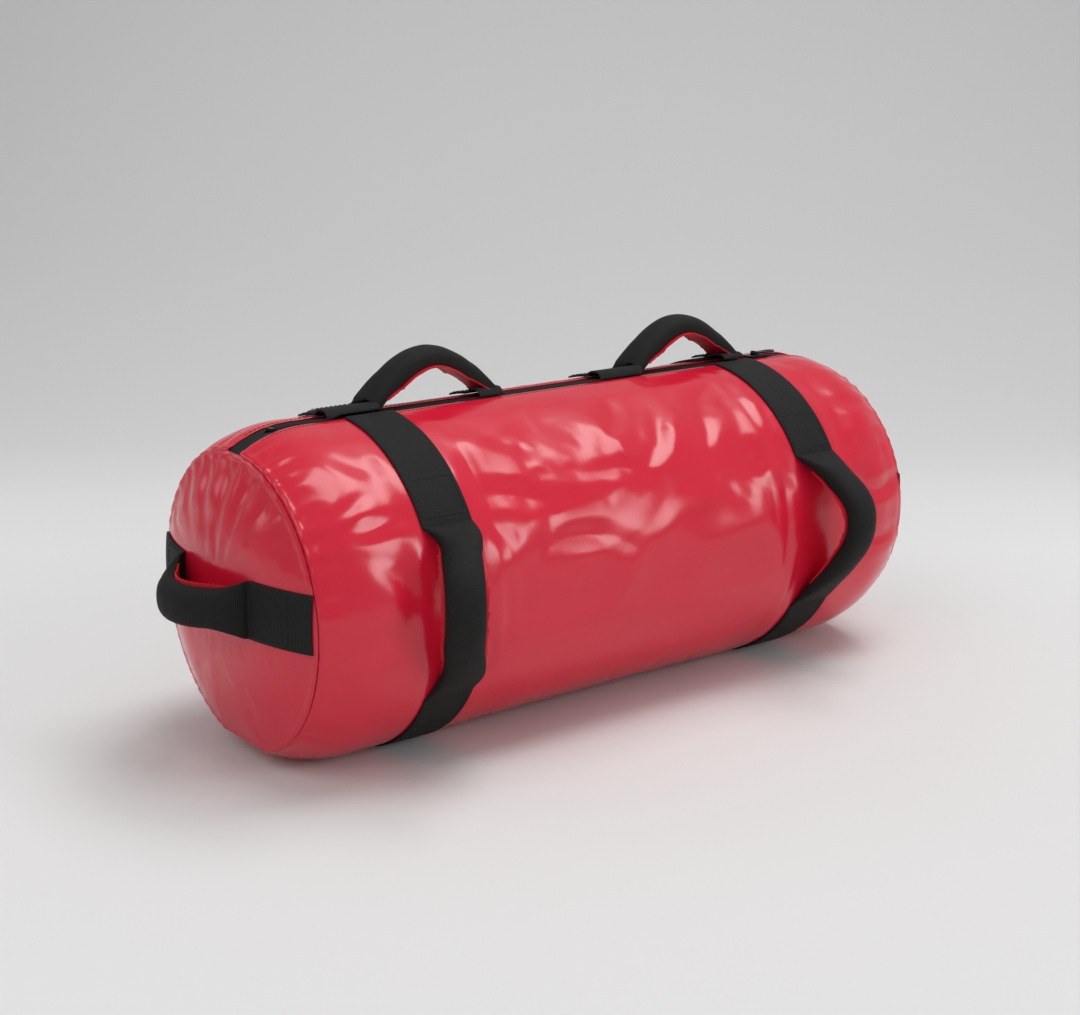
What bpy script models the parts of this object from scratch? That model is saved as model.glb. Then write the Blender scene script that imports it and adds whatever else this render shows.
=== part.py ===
"""Sandbag trainer: a zipped vinyl barrel bag with webbing straps and six padded loop handles.

Lengths are in metres, +X runs along the bag, -Y is its front and +Z is up. The origin lies on
the floor under the middle of the barrel.
"""

import math

import bmesh
import bpy
from mathutils import Matrix, Vector

# Fits
FIT_GAP = 0.0003

# Barrel and end panels
BAG_LENGTH = 0.525
BARREL_RADIUS = 0.113
REST_FLAT_WIDTH = 0.060
VINYL_THICKNESS = 0.0009
SEAM_RADIUS = 0.0995
SHOULDER_LENGTH = 0.048
END_BULGE = 0.018
SEAM_ALLOWANCE = 0.012
BINDING_WRAP = 0.004
BINDING_THICKNESS = 0.0005
SIDE_SEGMENTS = 18
INNER_SKIP_SEGMENTS = 2
SMOOTH_ANGLE = 40.0
SHOULDER_POWER = 2.3
BULGE_POWER = 2.5
SHOULDER_SHARES = (0.4, 0.65, 0.85, 0.95)
PANEL_SHARES = (0.3, 0.6, 0.82, 0.94)

# Folds of the slack vinyl: waves along the bag and round it in cycles per metre, and their phase
FOLD_WAVES = ((5.0, 3.1, 0.7), (-7.5, 1.7, 2.1), (1.0, 6.4, 2.0), (5.8, 5.1, 4.4), (1.2, -5.6, 2.5))
FOLD_DEPTH = 0.0030
FOLD_FULL_SUM = 2.2
FOLD_FADE = 0.0200
FOLD_TOP_FRONT = 16.0
FOLD_TOP_BACK = 26.0
FOLD_LOW = 105.0
FOLD_FADE_ANGLE = 12.0
FOLD_ROWS = 5
PANEL_FOLD_DEPTH = 0.0015
PANEL_FOLD_WEIGHTS = (0.0, 0.7, 1.0, 0.0)
PANEL_FOLD_CORNERS = (-6, -4, -2, 0, 2, 4)

# Webbing straps
WEBBING_WIDTH = 0.038
WEBBING_THICKNESS = 0.0015
STRAP_INSET = 0.0971
STRAP_EDGE_MARGIN = 0.0015
END_STRAP_RISE = 0.008
END_STRAP_SEGMENTS = 5

# Zip
ZIP_OPENING_WIDTH = 0.0164
TAPE_REACH = 0.0160
TAPE_THICKNESS = 0.0006
CHAIN_WIDTH = 0.0031
CHAIN_THICKNESS = 0.0024
CHAIN_SPREAD = 0.00075
CHAIN_START = 0.0300
STRIP_MARGIN_SHARE = 0.1
TAPE_END = 0.0060
STOP_LENGTH = 0.0030
STOP_HEIGHT = 0.0034

# Zip slider and pull
SLIDER_SETBACK = 0.0165
SLIDER_LENGTH = 0.0160
SLIDER_WIDTH = 0.0124
SLIDER_PLATE = 0.0010
SLIDER_FLANGE = 0.0011
SLIDER_CORNER = 0.0010
POST_WIDTH = 0.0012
POST_LENGTH = 0.0030
BAIL_RISE = 0.0016
BAIL_RADIUS = 0.0006
LUG_THICKNESS = 0.0011
LUG_LENGTH = 0.0030
PULL_LENGTH = 0.0200
PULL_WIDTH = 0.0062
PULL_THICKNESS = 0.0011
PULL_EYE_WIDTH = 0.0040
PULL_EYE_WALL = 0.0006
PULL_SLOT_LENGTH = 0.0090
PULL_SLOT_WIDTH = 0.0028
PULL_ROUND_SEGMENTS = 6
BAIL_SIDES = 8
EYE_SIDES = 12

# Padded handle loops
GRIP_WIDTH = 0.0270
GRIP_HEIGHT = 0.0130
LINING_WIDTH = 0.0290
ARCH_POWER = 2.2
TOP_ARCH_POWER = 1.9
TOP_GRIP_SHARES = (-0.62, 0.62)
FRONT_GRIP_SHARES = (-0.30, 0.78)
GRIP_SEGMENTS = 10
LEG_SEGMENTS = 5
LEG_START_SHARE = 0.1
TAB_LEG_START_SHARE = 0.6
DOME_SEGMENTS = 6
DOME_POWER = 0.6
LIP_SHARE = 0.17
TANGENT_SHARE = 0.01

# Top handles
TOP_SPAN = 0.102
TOP_ARCH = 0.0326
TOP_LEFT_INSET = 0.0600
TOP_RIGHT_INSET = 0.0389
TOP_SETBACK = 0.0120
TOP_HINGE_RISE = 0.0040
TAB_WIDTH = 0.0380
OUTER_TAB_LENGTH = 0.0395
INNER_TAB_LENGTH = 0.0180
BRIDGE_RISE = 0.0046
BRIDGE_FLAT_EDGE = 0.0034
BRIDGE_FOOT_EDGE = 0.0120
FOLD_REACH = 0.0090

# Front handles
FRONT_ROOT_ANGLE = 30.0
FRONT_ARCH = 0.0500
FRONT_SKEW = 0.25
FRONT_HINGE_INSET = 0.0010
FRONT_LEFT_SWING = -29.0
FRONT_RIGHT_SWING = 7.0

# End handles
END_SPAN = 0.084
END_ARCH = 0.0300
END_HINGE_RISE = 0.0035

# Filler pouches
POUCH_WALL = 0.0010
POUCH_SPACING = 0.0160
POUCH_CORNER = 0.0150
POUCH_TOP_DROP = 0.0062
POUCH_END_INSET = 0.0120
NECK_RADIUS = 0.0160
NECK_LENGTH = 0.0130
CINCH_THICKNESS = 0.0020
CINCH_WIDTH = 0.0090
POUCH_SIDE_SHARES = (0.0, 0.5, 1.0)

# Sizes that follow from the ones above
FLAT_EDGE_ANGLE = math.pi - math.asin(REST_FLAT_WIDTH / 2 / BARREL_RADIUS)
AXIS_HEIGHT = -BARREL_RADIUS * math.cos(FLAT_EDGE_ANGLE)
BAG_TOP = AXIS_HEIGHT + BARREL_RADIUS
SEAM_X = BAG_LENGTH / 2
STRAP_X = SEAM_X - STRAP_INSET
SLIDER_PARK = SEAM_X - SHOULDER_LENGTH - SLIDER_SETBACK
TOP_LEFT_CENTRE = TOP_LEFT_INSET - STRAP_X
TOP_RIGHT_CENTRE = STRAP_X - TOP_RIGHT_INSET
ZIP_HALF = ZIP_OPENING_WIDTH / 2
TAPE_DEPTH = VINYL_THICKNESS + FIT_GAP
CHAIN_DEPTH = TAPE_DEPTH + TAPE_THICKNESS / 2
STRAP_SEAT = BARREL_RADIUS + FIT_GAP
STRAP_TOP = STRAP_SEAT + WEBBING_THICKNESS

RED_VINYL = ((0.55, 0.02, 0.04, 1), 0.25, 0.0)
BLACK_WEBBING = ((0.03, 0.03, 0.03, 1), 0.8, 0.0)
BLACK_TAPE = ((0.02, 0.02, 0.02, 1), 0.85, 0.0)
COIL_NYLON = ((0.015, 0.015, 0.015, 1), 0.45, 0.0)
SLIDER_METAL = ((0.03, 0.03, 0.035, 1), 0.35, 0.9)
FOAM = ((0.25, 0.25, 0.25, 1), 0.95, 0.0)
POUCH_CLOTH = ((0.05, 0.05, 0.06, 1), 0.85, 0.0)
SAND = ((0.5, 0.4, 0.25, 1), 0.95, 0.0)


def remove_everything():
    for item in list(bpy.data.objects):
        bpy.data.objects.remove(item, do_unlink=True)


def make_material(name, look):
    colour, roughness, metallic = look
    material = bpy.data.materials.new(name)
    material.use_nodes = True
    shader = material.node_tree.nodes["Principled BSDF"]
    shader.inputs["Base Color"].default_value = colour
    shader.inputs["Roughness"].default_value = roughness
    shader.inputs["Metallic"].default_value = metallic
    return material


def add_object(name, build, look, origin=(0, 0, 0)):
    """Turns a bmesh in world space into a named object whose origin is at the given place."""
    build.transform(Matrix.Translation(-Vector(origin)))
    bmesh.ops.recalc_face_normals(build, faces=build.faces)
    mesh = bpy.data.meshes.new(name)
    build.to_mesh(mesh)
    build.free()
    mesh.shade_smooth()
    mesh.set_sharp_from_angle(angle=math.radians(SMOOTH_ANGLE))
    item = bpy.data.objects.new(name, mesh)
    item.location = origin
    item.data.materials.append(make_material(name, look))
    bpy.context.collection.objects.link(item)
    return item


def skin(outer, inner, closed_across=False):
    """A closed solid between two grids of points; rows run along it and columns across it."""
    build = bmesh.new()
    top = [[build.verts.new(p) for p in row] for row in outer]
    low = [[build.verts.new(p) for p in row] for row in inner]
    rows = len(top)
    columns = len(top[0])
    across = columns if closed_across else columns - 1
    for i in range(rows - 1):
        for j in range(across):
            k = (j + 1) % columns
            build.faces.new((top[i][j], top[i][k], top[i + 1][k], top[i + 1][j]))
            build.faces.new((low[i][j], low[i + 1][j], low[i + 1][k], low[i][k]))
    for j in range(across):
        k = (j + 1) % columns
        build.faces.new((top[0][j], low[0][j], low[0][k], top[0][k]))
        build.faces.new((top[-1][k], low[-1][k], low[-1][j], top[-1][j]))
    if not closed_across:
        for i in range(rows - 1):
            build.faces.new((top[i][0], top[i + 1][0], low[i + 1][0], low[i][0]))
            build.faces.new((top[i + 1][-1], top[i][-1], low[i][-1], low[i + 1][-1]))
    return build


def loft(rings):
    """A closed solid through rings of as many points each, capped at both ends."""
    build = bmesh.new()
    loops = [[build.verts.new(p) for p in ring] for ring in rings]
    count = len(loops[0])
    for near, far in zip(loops, loops[1:]):
        for j in range(count):
            k = (j + 1) % count
            build.faces.new((near[j], near[k], far[k], far[j]))
    build.faces.new(list(reversed(loops[0])))
    build.faces.new(loops[-1])
    return build


def box(low, high):
    """A block between its lowest and its highest corner."""
    corners = [(low[0], low[1]), (high[0], low[1]), (high[0], high[1]), (low[0], high[1])]
    return loft([[Vector((x, y, z)) for x, y in corners] for z in (low[2], high[2])])


def join_by_boolean(base, others):
    """Unites the other objects with the base; the others stay as hidden guides."""
    for other in others:
        modifier = base.modifiers.new("join " + other.name, "BOOLEAN")
        modifier.operation = "UNION"
        modifier.solver = "EXACT"
        modifier.object = other
        hide_guide(other)


def cut_by_boolean(base, cutter):
    modifier = base.modifiers.new("cut " + cutter.name, "BOOLEAN")
    modifier.operation = "DIFFERENCE"
    modifier.solver = "EXACT"
    modifier.object = cutter
    hide_guide(cutter)


def hide_guide(item):
    item.hide_render = True
    item.display_type = "WIRE"


def smooth_step(share):
    share = min(max(share, 0.0), 1.0)
    return share * share * (3 - 2 * share)


# Barrel cross-section: a many-sided round that is flat where the bag rests


def ring_corner(x, radius, index):
    """Corner of the cross-section; index counts from the top, below 0 on the front side."""
    last = 2 * SIDE_SEGMENTS + 1
    index = (index + SIDE_SEGMENTS) % last - SIDE_SEGMENTS
    angle = FLAT_EDGE_ANGLE * index / SIDE_SEGMENTS
    return Vector((x, radius * math.sin(angle), AXIS_HEIGHT + radius * math.cos(angle)))


def ring_point(x, radius, angle):
    """Point on a flat side of the cross-section, at an angle from the top."""
    place = angle / FLAT_EDGE_ANGLE * SIDE_SEGMENTS
    index = math.floor(place)
    return ring_corner(x, radius, index).lerp(ring_corner(x, radius, index + 1), place - index)


def side_angles(start, end):
    """The start, the corners between and the end of a stretch round the barrel."""
    step = FLAT_EDGE_ANGLE / SIDE_SEGMENTS
    first = math.floor(start / step) + 1
    last = math.ceil(end / step) - 1
    return [start] + [step * k for k in range(first, last + 1)] + [end]


def raised(point, floor):
    return Vector((point.x, point.y, max(point.z, floor)))


def outer_radius(x):
    """Radius of the barrel's outer face; it draws in over the shoulders in straight steps."""
    share = max(0.0, (abs(x) - (SEAM_X - SHOULDER_LENGTH)) / SHOULDER_LENGTH)
    return BARREL_RADIUS - (BARREL_RADIUS - SEAM_RADIUS) * shoulder_fall(min(share, 1.0))


def shoulder_fall(share):
    knots = (0.0,) + SHOULDER_SHARES + (1.0,)
    for start, end in zip(knots, knots[1:]):
        if share <= end:
            low, high = start**SHOULDER_POWER, end**SHOULDER_POWER
            return low + (high - low) * (share - start) / (end - start)
    return 1.0


def fold_freedom(x, angle):
    """1 where the vinyl is free to fold; 0 under straps and tabs, by the zip and seams, and below."""
    from_strap = abs(abs(x) - STRAP_X) - WEBBING_WIDTH / 2 - 2 * FIT_GAP
    edge = min(from_strap, SEAM_X - abs(x)) / FOLD_FADE
    degrees = math.degrees(angle)
    top = FOLD_TOP_FRONT if angle < 0 else FOLD_TOP_BACK
    round_it = min(abs(degrees) - top, FOLD_LOW - abs(degrees)) / FOLD_FADE_ANGLE
    return smooth_step(edge) * smooth_step(round_it)


def fold_depth(x, angle):
    """How far the vinyl sinks between its folds, at an angle from the top (front below 0)."""
    around = -angle * BARREL_RADIUS
    total = sum(math.sin(math.tau * (a * x + b * around) + phase) for a, b, phase in FOLD_WAVES)
    return FOLD_DEPTH * min(abs(total) / FOLD_FULL_SUM, 1.0) * fold_freedom(x, angle)


def shell_profile():
    """(x, outer radius, rest height) of the barrel's rows from the near seam to the far one."""
    start = SEAM_X - SHOULDER_LENGTH
    near = STRAP_X - WEBBING_WIDTH / 2 - FIT_GAP
    far = STRAP_X + WEBBING_WIDTH / 2 + FIT_GAP
    lifted = WEBBING_THICKNESS + FIT_GAP
    right = [(near - FIT_GAP, 0.0), (near, lifted), (far, lifted), (far + FIT_GAP, 0.0), (start, 0.0)]
    right += [(start + SHOULDER_LENGTH * share, 0.0) for share in SHOULDER_SHARES]
    between = [(near * k / FOLD_ROWS, 0.0) for k in range(1, FOLD_ROWS)]
    right = sorted(between + right + [((far + start) / 2, 0.0)])
    rows = [(-x, rest) for x, rest in reversed(right)] + [(0.0, 0.0)] + right
    return [(x, outer_radius(x), rest) for x, rest in rows]


def shell_row(x, radius, rest):
    """Points of one row of the barrel, from the front edge of the zip slot round to the back one."""
    angles = side_angles(math.asin(ZIP_HALF / radius), FLAT_EDGE_ANGLE)
    turn = [-a for a in angles] + list(reversed(angles))
    return [raised(ring_point(x, radius - fold_depth(x, a), a), rest) for a in turn]


def make_barrel_shell():
    slim = VINYL_THICKNESS
    edge = SEAM_X - FIT_GAP / 2
    fin = SEAM_RADIUS - SEAM_ALLOWANCE
    profile = shell_profile()
    outer = [(-edge, fin, 0.0), (-edge, SEAM_RADIUS, 0.0)] + profile
    outer += [(edge, SEAM_RADIUS, 0.0), (edge, fin, 0.0)]
    inner = [(-edge + slim, fin, slim), (-edge + slim, SEAM_RADIUS - slim, slim)]
    inner += [(x, radius - slim, rest + slim) for x, radius, rest in profile]
    inner += [(edge - slim, SEAM_RADIUS - slim, slim), (edge - slim, fin, slim)]
    build = skin([shell_row(*row) for row in outer], [shell_row(*row) for row in inner])
    add_object("barrel_shell", build, RED_VINYL)


# End panels and their seams


def panel_x(radius):
    """How far the end panel's outer face stands from the middle, at a distance from its centre."""
    share = radius / SEAM_RADIUS
    return SEAM_X + FIT_GAP / 2 + END_BULGE * (1 - share**BULGE_POWER)


def full_ring(x, radius, skip=1):
    """The cross-section's corners; inner soft pieces take only every second or third of them."""
    return [ring_corner(x, radius, k) for k in range(-SIDE_SEGMENTS, SIDE_SEGMENTS + 1, skip)]


def panel_ring(side, x, radius, weight):
    """One ring of an end panel; its upper folds sink by a share of their depth."""
    ring = full_ring(side * x, radius)
    for corner in PANEL_FOLD_CORNERS:
        ring[corner + SIDE_SEGMENTS].x -= side * PANEL_FOLD_DEPTH * weight
    return ring


def make_end_panel(name, side):
    """A domed disc whose edge turns inward beside the barrel's seam allowance."""
    slim = VINYL_THICKNESS
    inside = SEAM_X + FIT_GAP / 2
    fin = SEAM_RADIUS - SEAM_ALLOWANCE
    face = [(SEAM_RADIUS * share, weight) for share, weight in zip(PANEL_SHARES, PANEL_FOLD_WEIGHTS)]
    face = [(panel_x(r), r, weight) for r, weight in reversed(face)]
    outer = [(inside, fin, 0.0), (inside, SEAM_RADIUS, 0.0)] + face
    inner = [(inside + slim, fin, 0.0), (inside + slim, SEAM_RADIUS - 2 * slim, 0.0)]
    inner += [(x - slim, r, weight) for x, r, weight in face]
    build = bmesh.new()
    top = [[build.verts.new(p) for p in panel_ring(side, *row)] for row in outer]
    low = [[build.verts.new(p) for p in panel_ring(side, *row)] for row in inner]
    count = len(top[0])
    for rings in (top, low):
        for near, far in zip(rings, rings[1:]):
            for j in range(count):
                k = (j + 1) % count
                build.faces.new((near[j], near[k], far[k], far[j]))
    for j in range(count):
        k = (j + 1) % count
        build.faces.new((top[0][j], top[0][k], low[0][k], low[0][j]))
    for rings, x in ((top, panel_x(0)), (low, panel_x(0) - slim)):
        centre = build.verts.new((side * x, 0, AXIS_HEIGHT))
        for j in range(count):
            build.faces.new((rings[-1][j], rings[-1][(j + 1) % count], centre))
    add_object(name, build, RED_VINYL)


def make_seam_binding(name, side):
    """A folded tape that wraps the two seam allowances inside the bag."""
    edge = SEAM_RADIUS - SEAM_ALLOWANCE
    reach = edge + BINDING_WRAP
    inside = FIT_GAP / 2 + VINYL_THICKNESS + FIT_GAP
    outside = inside + BINDING_THICKNESS
    lip = edge - FIT_GAP
    outer = [(-outside, reach), (-outside, lip - BINDING_THICKNESS)]
    outer += [(outside, lip - BINDING_THICKNESS), (outside, reach)]
    inner = [(-inside, reach), (-inside, lip), (inside, lip), (inside, reach)]
    rows = [[full_ring(side * (SEAM_X + x), r) for x, r in face] for face in (outer, inner)]
    add_object(name, skin(rows[0], rows[1], closed_across=True), BLACK_TAPE)


# Zip


def spread(x):
    """How far each chain half stands aside where the slider's post parts them."""
    return CHAIN_SPREAD * smooth_step((x - SLIDER_PARK + POST_LENGTH / 2) / POST_LENGTH)


def zip_strip(side, stations, near_edge, far_edge, depth, thickness):
    """A strip along the zip; its edges are distances from the bag's middle plane at each station."""
    outer, inner = [], []
    for x in stations:
        radius = outer_radius(x) - depth
        for rows, r in ((outer, radius), (inner, radius - thickness)):
            near, far = math.asin(near_edge(x) / r), math.asin(far_edge(x) / r)
            rows.append([ring_point(x, r, side * a) for a in (near, strip_bend(near, far), far)])
    return skin(outer, inner)


def strip_bend(near, far):
    """The cross-section's first corner from the top, where a strip reaches it, or near its edge."""
    margin = (far - near) * STRIP_MARGIN_SHARE
    corner = FLAT_EDGE_ANGLE / SIDE_SEGMENTS
    return min(max(corner, near + margin), far - margin)


def chain_start():
    return -(SEAM_X - CHAIN_START)


def chain_end():
    return SLIDER_PARK + SLIDER_LENGTH / 2 - FIT_GAP


def stop_ends():
    """Where the bottom stop and the top stops end, with their clearance."""
    return chain_start() - 2 * FIT_GAP - STOP_LENGTH, chain_end() + 3 * FIT_GAP + STOP_LENGTH


def parting_stations():
    return [SLIDER_PARK - POST_LENGTH / 2, SLIDER_PARK, SLIDER_PARK + POST_LENGTH / 2]


def shoulder_stations(end):
    """Places from the start of the right shoulder to an end on it, at the shoulder's own steps."""
    flat = SEAM_X - SHOULDER_LENGTH
    steps = [flat + SHOULDER_LENGTH * share for share in SHOULDER_SHARES]
    return [flat] + [x for x in steps if x < end - FIT_GAP] + [end]


def tape_stations():
    left, right = stop_ends()
    slope = shoulder_stations(SEAM_X - TAPE_END)
    places = [-x for x in slope] + slope + parting_stations()
    places += [left, left - CHAIN_WIDTH, right, right + CHAIN_WIDTH]
    return sorted(places)


def chain_stations():
    slope = shoulder_stations(-chain_start())
    return [-x for x in reversed(slope)] + parting_stations() + [chain_end()]


def tape_edge(x):
    """Inner edge of a tape: beside the chain, and against the other tape beyond the stops."""
    left, right = stop_ends()
    beside = CHAIN_WIDTH + 3 * FIT_GAP / 2 + spread(x)
    closed = FIT_GAP / 2
    beyond = max(left - x, x - right) / CHAIN_WIDTH
    return beside + (closed - beside) * min(max(beyond, 0.0), 1.0)


def chain_edge(x):
    return FIT_GAP / 2 + spread(x)


def make_zip_half(word, side):
    places = tape_stations()
    tape = zip_strip(side, places, tape_edge, lambda x: TAPE_REACH, TAPE_DEPTH, TAPE_THICKNESS)
    add_object("zip_tape_" + word, tape, BLACK_TAPE)
    depth = CHAIN_DEPTH - CHAIN_THICKNESS / 2
    places = chain_stations()
    far_edge = lambda x: chain_edge(x) + CHAIN_WIDTH
    chain = zip_strip(side, places, chain_edge, far_edge, depth, CHAIN_THICKNESS)
    add_object("zip_chain_" + word, chain, COIL_NYLON)


def make_zip_stops():
    middle = BAG_TOP - CHAIN_DEPTH
    half = STOP_HEIGHT / 2
    start = chain_end() + 2 * FIT_GAP
    for word, side in (("front", -1), ("back", 1)):
        near = side * CHAIN_SPREAD
        far = side * (CHAIN_SPREAD + CHAIN_WIDTH)
        low = (start, min(near, far), middle - half)
        high = (start + STOP_LENGTH, max(near, far), middle + half)
        add_object("zip_top_stop_" + word, box(low, high), SLIDER_METAL)
    end = chain_start() - FIT_GAP
    middle += outer_radius(end) - BARREL_RADIUS
    low = (end - STOP_LENGTH, -CHAIN_WIDTH, middle - half)
    high = (end, CHAIN_WIDTH, middle + half)
    add_object("zip_bottom_stop", box(low, high), SLIDER_METAL)


def slider_outline(wide, narrow):
    """The slider's plate seen from above: wide where the chain halves part, drawn in behind."""
    half = SLIDER_LENGTH / 2
    return [
        Vector((-half, narrow, 0)),
        Vector((0, narrow, 0)),
        Vector((half - POST_LENGTH, wide, 0)),
        Vector((half - SLIDER_CORNER, wide, 0)),
        Vector((half, wide - SLIDER_CORNER, 0)),
    ]


def slider_plate(bottom, top):
    edge = slider_outline(SLIDER_WIDTH / 2, SLIDER_WIDTH / 2 - FIT_GAP)
    outline = edge + [Vector((p.x, -p.y, 0)) for p in reversed(edge)]
    centre = Vector((SLIDER_PARK, 0, 0))
    return loft([[p + centre + Vector((0, 0, z)) for p in outline] for z in (bottom, top)])


def make_zip_slider():
    """Two plates joined by the post that parts the chain, with flanges, lugs and a bail."""
    middle = BAG_TOP - CHAIN_DEPTH
    inner = CHAIN_THICKNESS / 2 + FIT_GAP
    drop = math.tan(FLAT_EDGE_ANGLE / SIDE_SEGMENTS / 2) * SLIDER_WIDTH / 2
    top = middle + inner
    low = middle - inner - drop
    plate = slider_plate(top, top + SLIDER_PLATE)
    slider = add_object("zip_slider", plate, SLIDER_METAL, (SLIDER_PARK, 0, top))
    plate = slider_plate(low - SLIDER_PLATE, low)
    others = [add_object("slider_low_plate", plate, SLIDER_METAL)]
    post_end = SLIDER_PARK + SLIDER_LENGTH / 2 - SLIDER_CORNER
    low_corner = (post_end - POST_LENGTH, -POST_WIDTH / 2, low - SLIDER_PLATE / 2)
    post = box(low_corner, (post_end, POST_WIDTH / 2, top + SLIDER_PLATE / 2))
    others.append(add_object("slider_post", post, SLIDER_METAL))
    tape_room = TAPE_THICKNESS / 2 + FIT_GAP
    others += slider_flanges("top", middle + tape_room, top + SLIDER_PLATE / 2)
    others += slider_flanges("low", low - SLIDER_PLATE / 2, middle - tape_room - drop)
    others += make_bail(top + SLIDER_PLATE)
    join_by_boolean(slider, others)


def slider_flanges(word, bottom, top):
    """Rims along a plate's two edges, held clear of the tapes."""
    reach = SLIDER_LENGTH / 2 - 2 * SLIDER_CORNER
    rim = SLIDER_WIDTH / 2 - 2 * FIT_GAP
    guides = []
    for side in (-1, 1):
        ys = sorted((side * rim, side * (rim - SLIDER_FLANGE)))
        flange = box((SLIDER_PARK - reach, ys[0], bottom), (SLIDER_PARK + reach, ys[1], top))
        guides.append(add_object(f"slider_flange_{word}_{side}", flange, SLIDER_METAL))
    return guides


def bail_centre():
    top = BAG_TOP - CHAIN_DEPTH + CHAIN_THICKNESS / 2 + FIT_GAP + SLIDER_PLATE
    return Vector((SLIDER_PARK, 0, top + BAIL_RISE))


def make_bail(plate_top):
    centre = bail_centre()
    guides = []
    inner = PULL_EYE_WIDTH / 2 + FIT_GAP
    for side in (-1, 1):
        ys = sorted((side * inner, side * (inner + LUG_THICKNESS)))
        lug = box(
            (centre.x - LUG_LENGTH / 2, ys[0], plate_top - SLIDER_PLATE / 2),
            (centre.x + LUG_LENGTH / 2, ys[1], centre.z + BAIL_RADIUS * 2),
        )
        guides.append(add_object(f"slider_lug_{side}", lug, SLIDER_METAL))
    half = inner + LUG_THICKNESS / 2
    pin = turned_rod(centre, BAIL_RADIUS, half, BAIL_SIDES)
    guides.append(add_object("slider_bail", pin, SLIDER_METAL))
    return guides


def turned_rod(centre, radius, half, sides):
    """A short rod along Y."""
    rings = []
    for y in (-half, half):
        turn = [2 * math.pi * k / sides for k in range(sides)]
        rings.append([centre + Vector((radius * math.cos(a), y, radius * math.sin(a))) for a in turn])
    return loft(rings)


def make_zip_pull():
    """A flat tab with a finger slot; its eye turns on the slider's bail."""
    centre = bail_centre()
    eye = turned_rod(centre, BAIL_RADIUS + FIT_GAP + PULL_EYE_WALL, PULL_EYE_WIDTH / 2, EYE_SIDES)
    pull = add_object("zip_pull", eye, SLIDER_METAL, centre)
    levels = (centre.z - PULL_THICKNESS / 2, centre.z + PULL_THICKNESS / 2)
    corner = (centre.x + PULL_WIDTH, PULL_EYE_WIDTH / 2, levels[1])
    neck = add_object("pull_neck", box((centre.x, -corner[1], levels[0]), corner), SLIDER_METAL)
    tab = loft([[Vector((x, y, z)) for x, y in pull_outline()] for z in levels])
    join_by_boolean(pull, [neck, add_object("pull_tab", tab, SLIDER_METAL)])
    hole = turned_rod(centre, BAIL_RADIUS + FIT_GAP, PULL_EYE_WIDTH, EYE_SIDES)
    cut_by_boolean(pull, add_object("pull_eye_hole", hole, SLIDER_METAL))
    far = centre.x + PULL_LENGTH - PULL_SLOT_WIDTH
    slot = box(
        (far - PULL_SLOT_LENGTH, -PULL_SLOT_WIDTH / 2, centre.z - PULL_THICKNESS),
        (far, PULL_SLOT_WIDTH / 2, centre.z + PULL_THICKNESS),
    )
    cut_by_boolean(pull, add_object("pull_slot", slot, SLIDER_METAL))


def pull_outline():
    centre = bail_centre()
    start = centre.x + PULL_WIDTH - FIT_GAP
    radius = PULL_WIDTH / 2
    end = centre.x + PULL_LENGTH - radius
    outline = [(start, radius)]
    for k in range(PULL_ROUND_SEGMENTS + 1):
        a = math.pi / 2 - math.pi * k / PULL_ROUND_SEGMENTS
        outline.append((end + radius * math.cos(a), radius * math.sin(a)))
    return outline + [(start, -radius)]


# Handle loops: an arch over a chord, in a plane that can swing about the hinge line


class Loop:
    """Frame of one handle: along is its chord, out is square to the bag, across is its width.

    A place on the loop is u, from -1 at one root to 1 at the other.
    """

    def __init__(self, name, middle, along, out, span, arch, hinge_out, grip,
                 skew=0.0, swing=0.0, power=ARCH_POWER):
        self.name = name
        self.middle = Vector(middle)
        self.along = Vector(along)
        self.out = Vector(out)
        self.across = self.along.cross(self.out)
        self.span = span
        self.arch = arch
        self.hinge_out = hinge_out
        self.grip = grip
        self.skew = skew
        self.swing = math.radians(swing)
        self.power = power

    def height(self, u):
        return self.arch * (1 - abs(u - self.skew * (1 - u * u)) ** self.power)

    def directions(self, u):
        """Out and across directions, turned with the grip but not at the roots."""
        low, high = self.grip
        share = min((1 + u) / (1 + low), (1 - u) / (1 - high))
        spin = Matrix.Rotation(self.swing * smooth_step(share), 3, self.along)
        return spin @ self.out, spin @ self.across

    def centre(self, u):
        out, across = self.directions(u)
        hinge = self.middle + self.out * self.hinge_out
        return hinge + self.along * (u * self.span / 2) + out * (self.height(u) - self.hinge_out)

    def frame(self, u):
        ahead, behind = self.centre(u + TANGENT_SHARE), self.centre(u - TANGENT_SHARE)
        tangent = (ahead - behind).normalized()
        across = self.directions(u)[1]
        normal = tangent.cross(across).normalized()
        if normal.dot(self.directions(u)[0]) < 0:
            normal = -normal
        return self.centre(u), tangent, across, normal


def grip_stations(loop):
    low, high = loop.grip
    return [low + (high - low) * k / GRIP_SEGMENTS for k in range(GRIP_SEGMENTS + 1)]


def dome(width, height, base):
    """Half-round outline (across, out) from one lower edge over the top to the other."""
    points = []
    for k in range(DOME_SEGMENTS + 1):
        angle = math.pi * k / DOME_SEGMENTS
        points.append((-width / 2 * math.cos(angle), base + height * math.sin(angle) ** DOME_POWER))
    return points


def section_at(loop, u, outline):
    centre, tangent, across, normal = loop.frame(u)
    return [centre + across * a + normal * o for a, o in outline]


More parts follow.
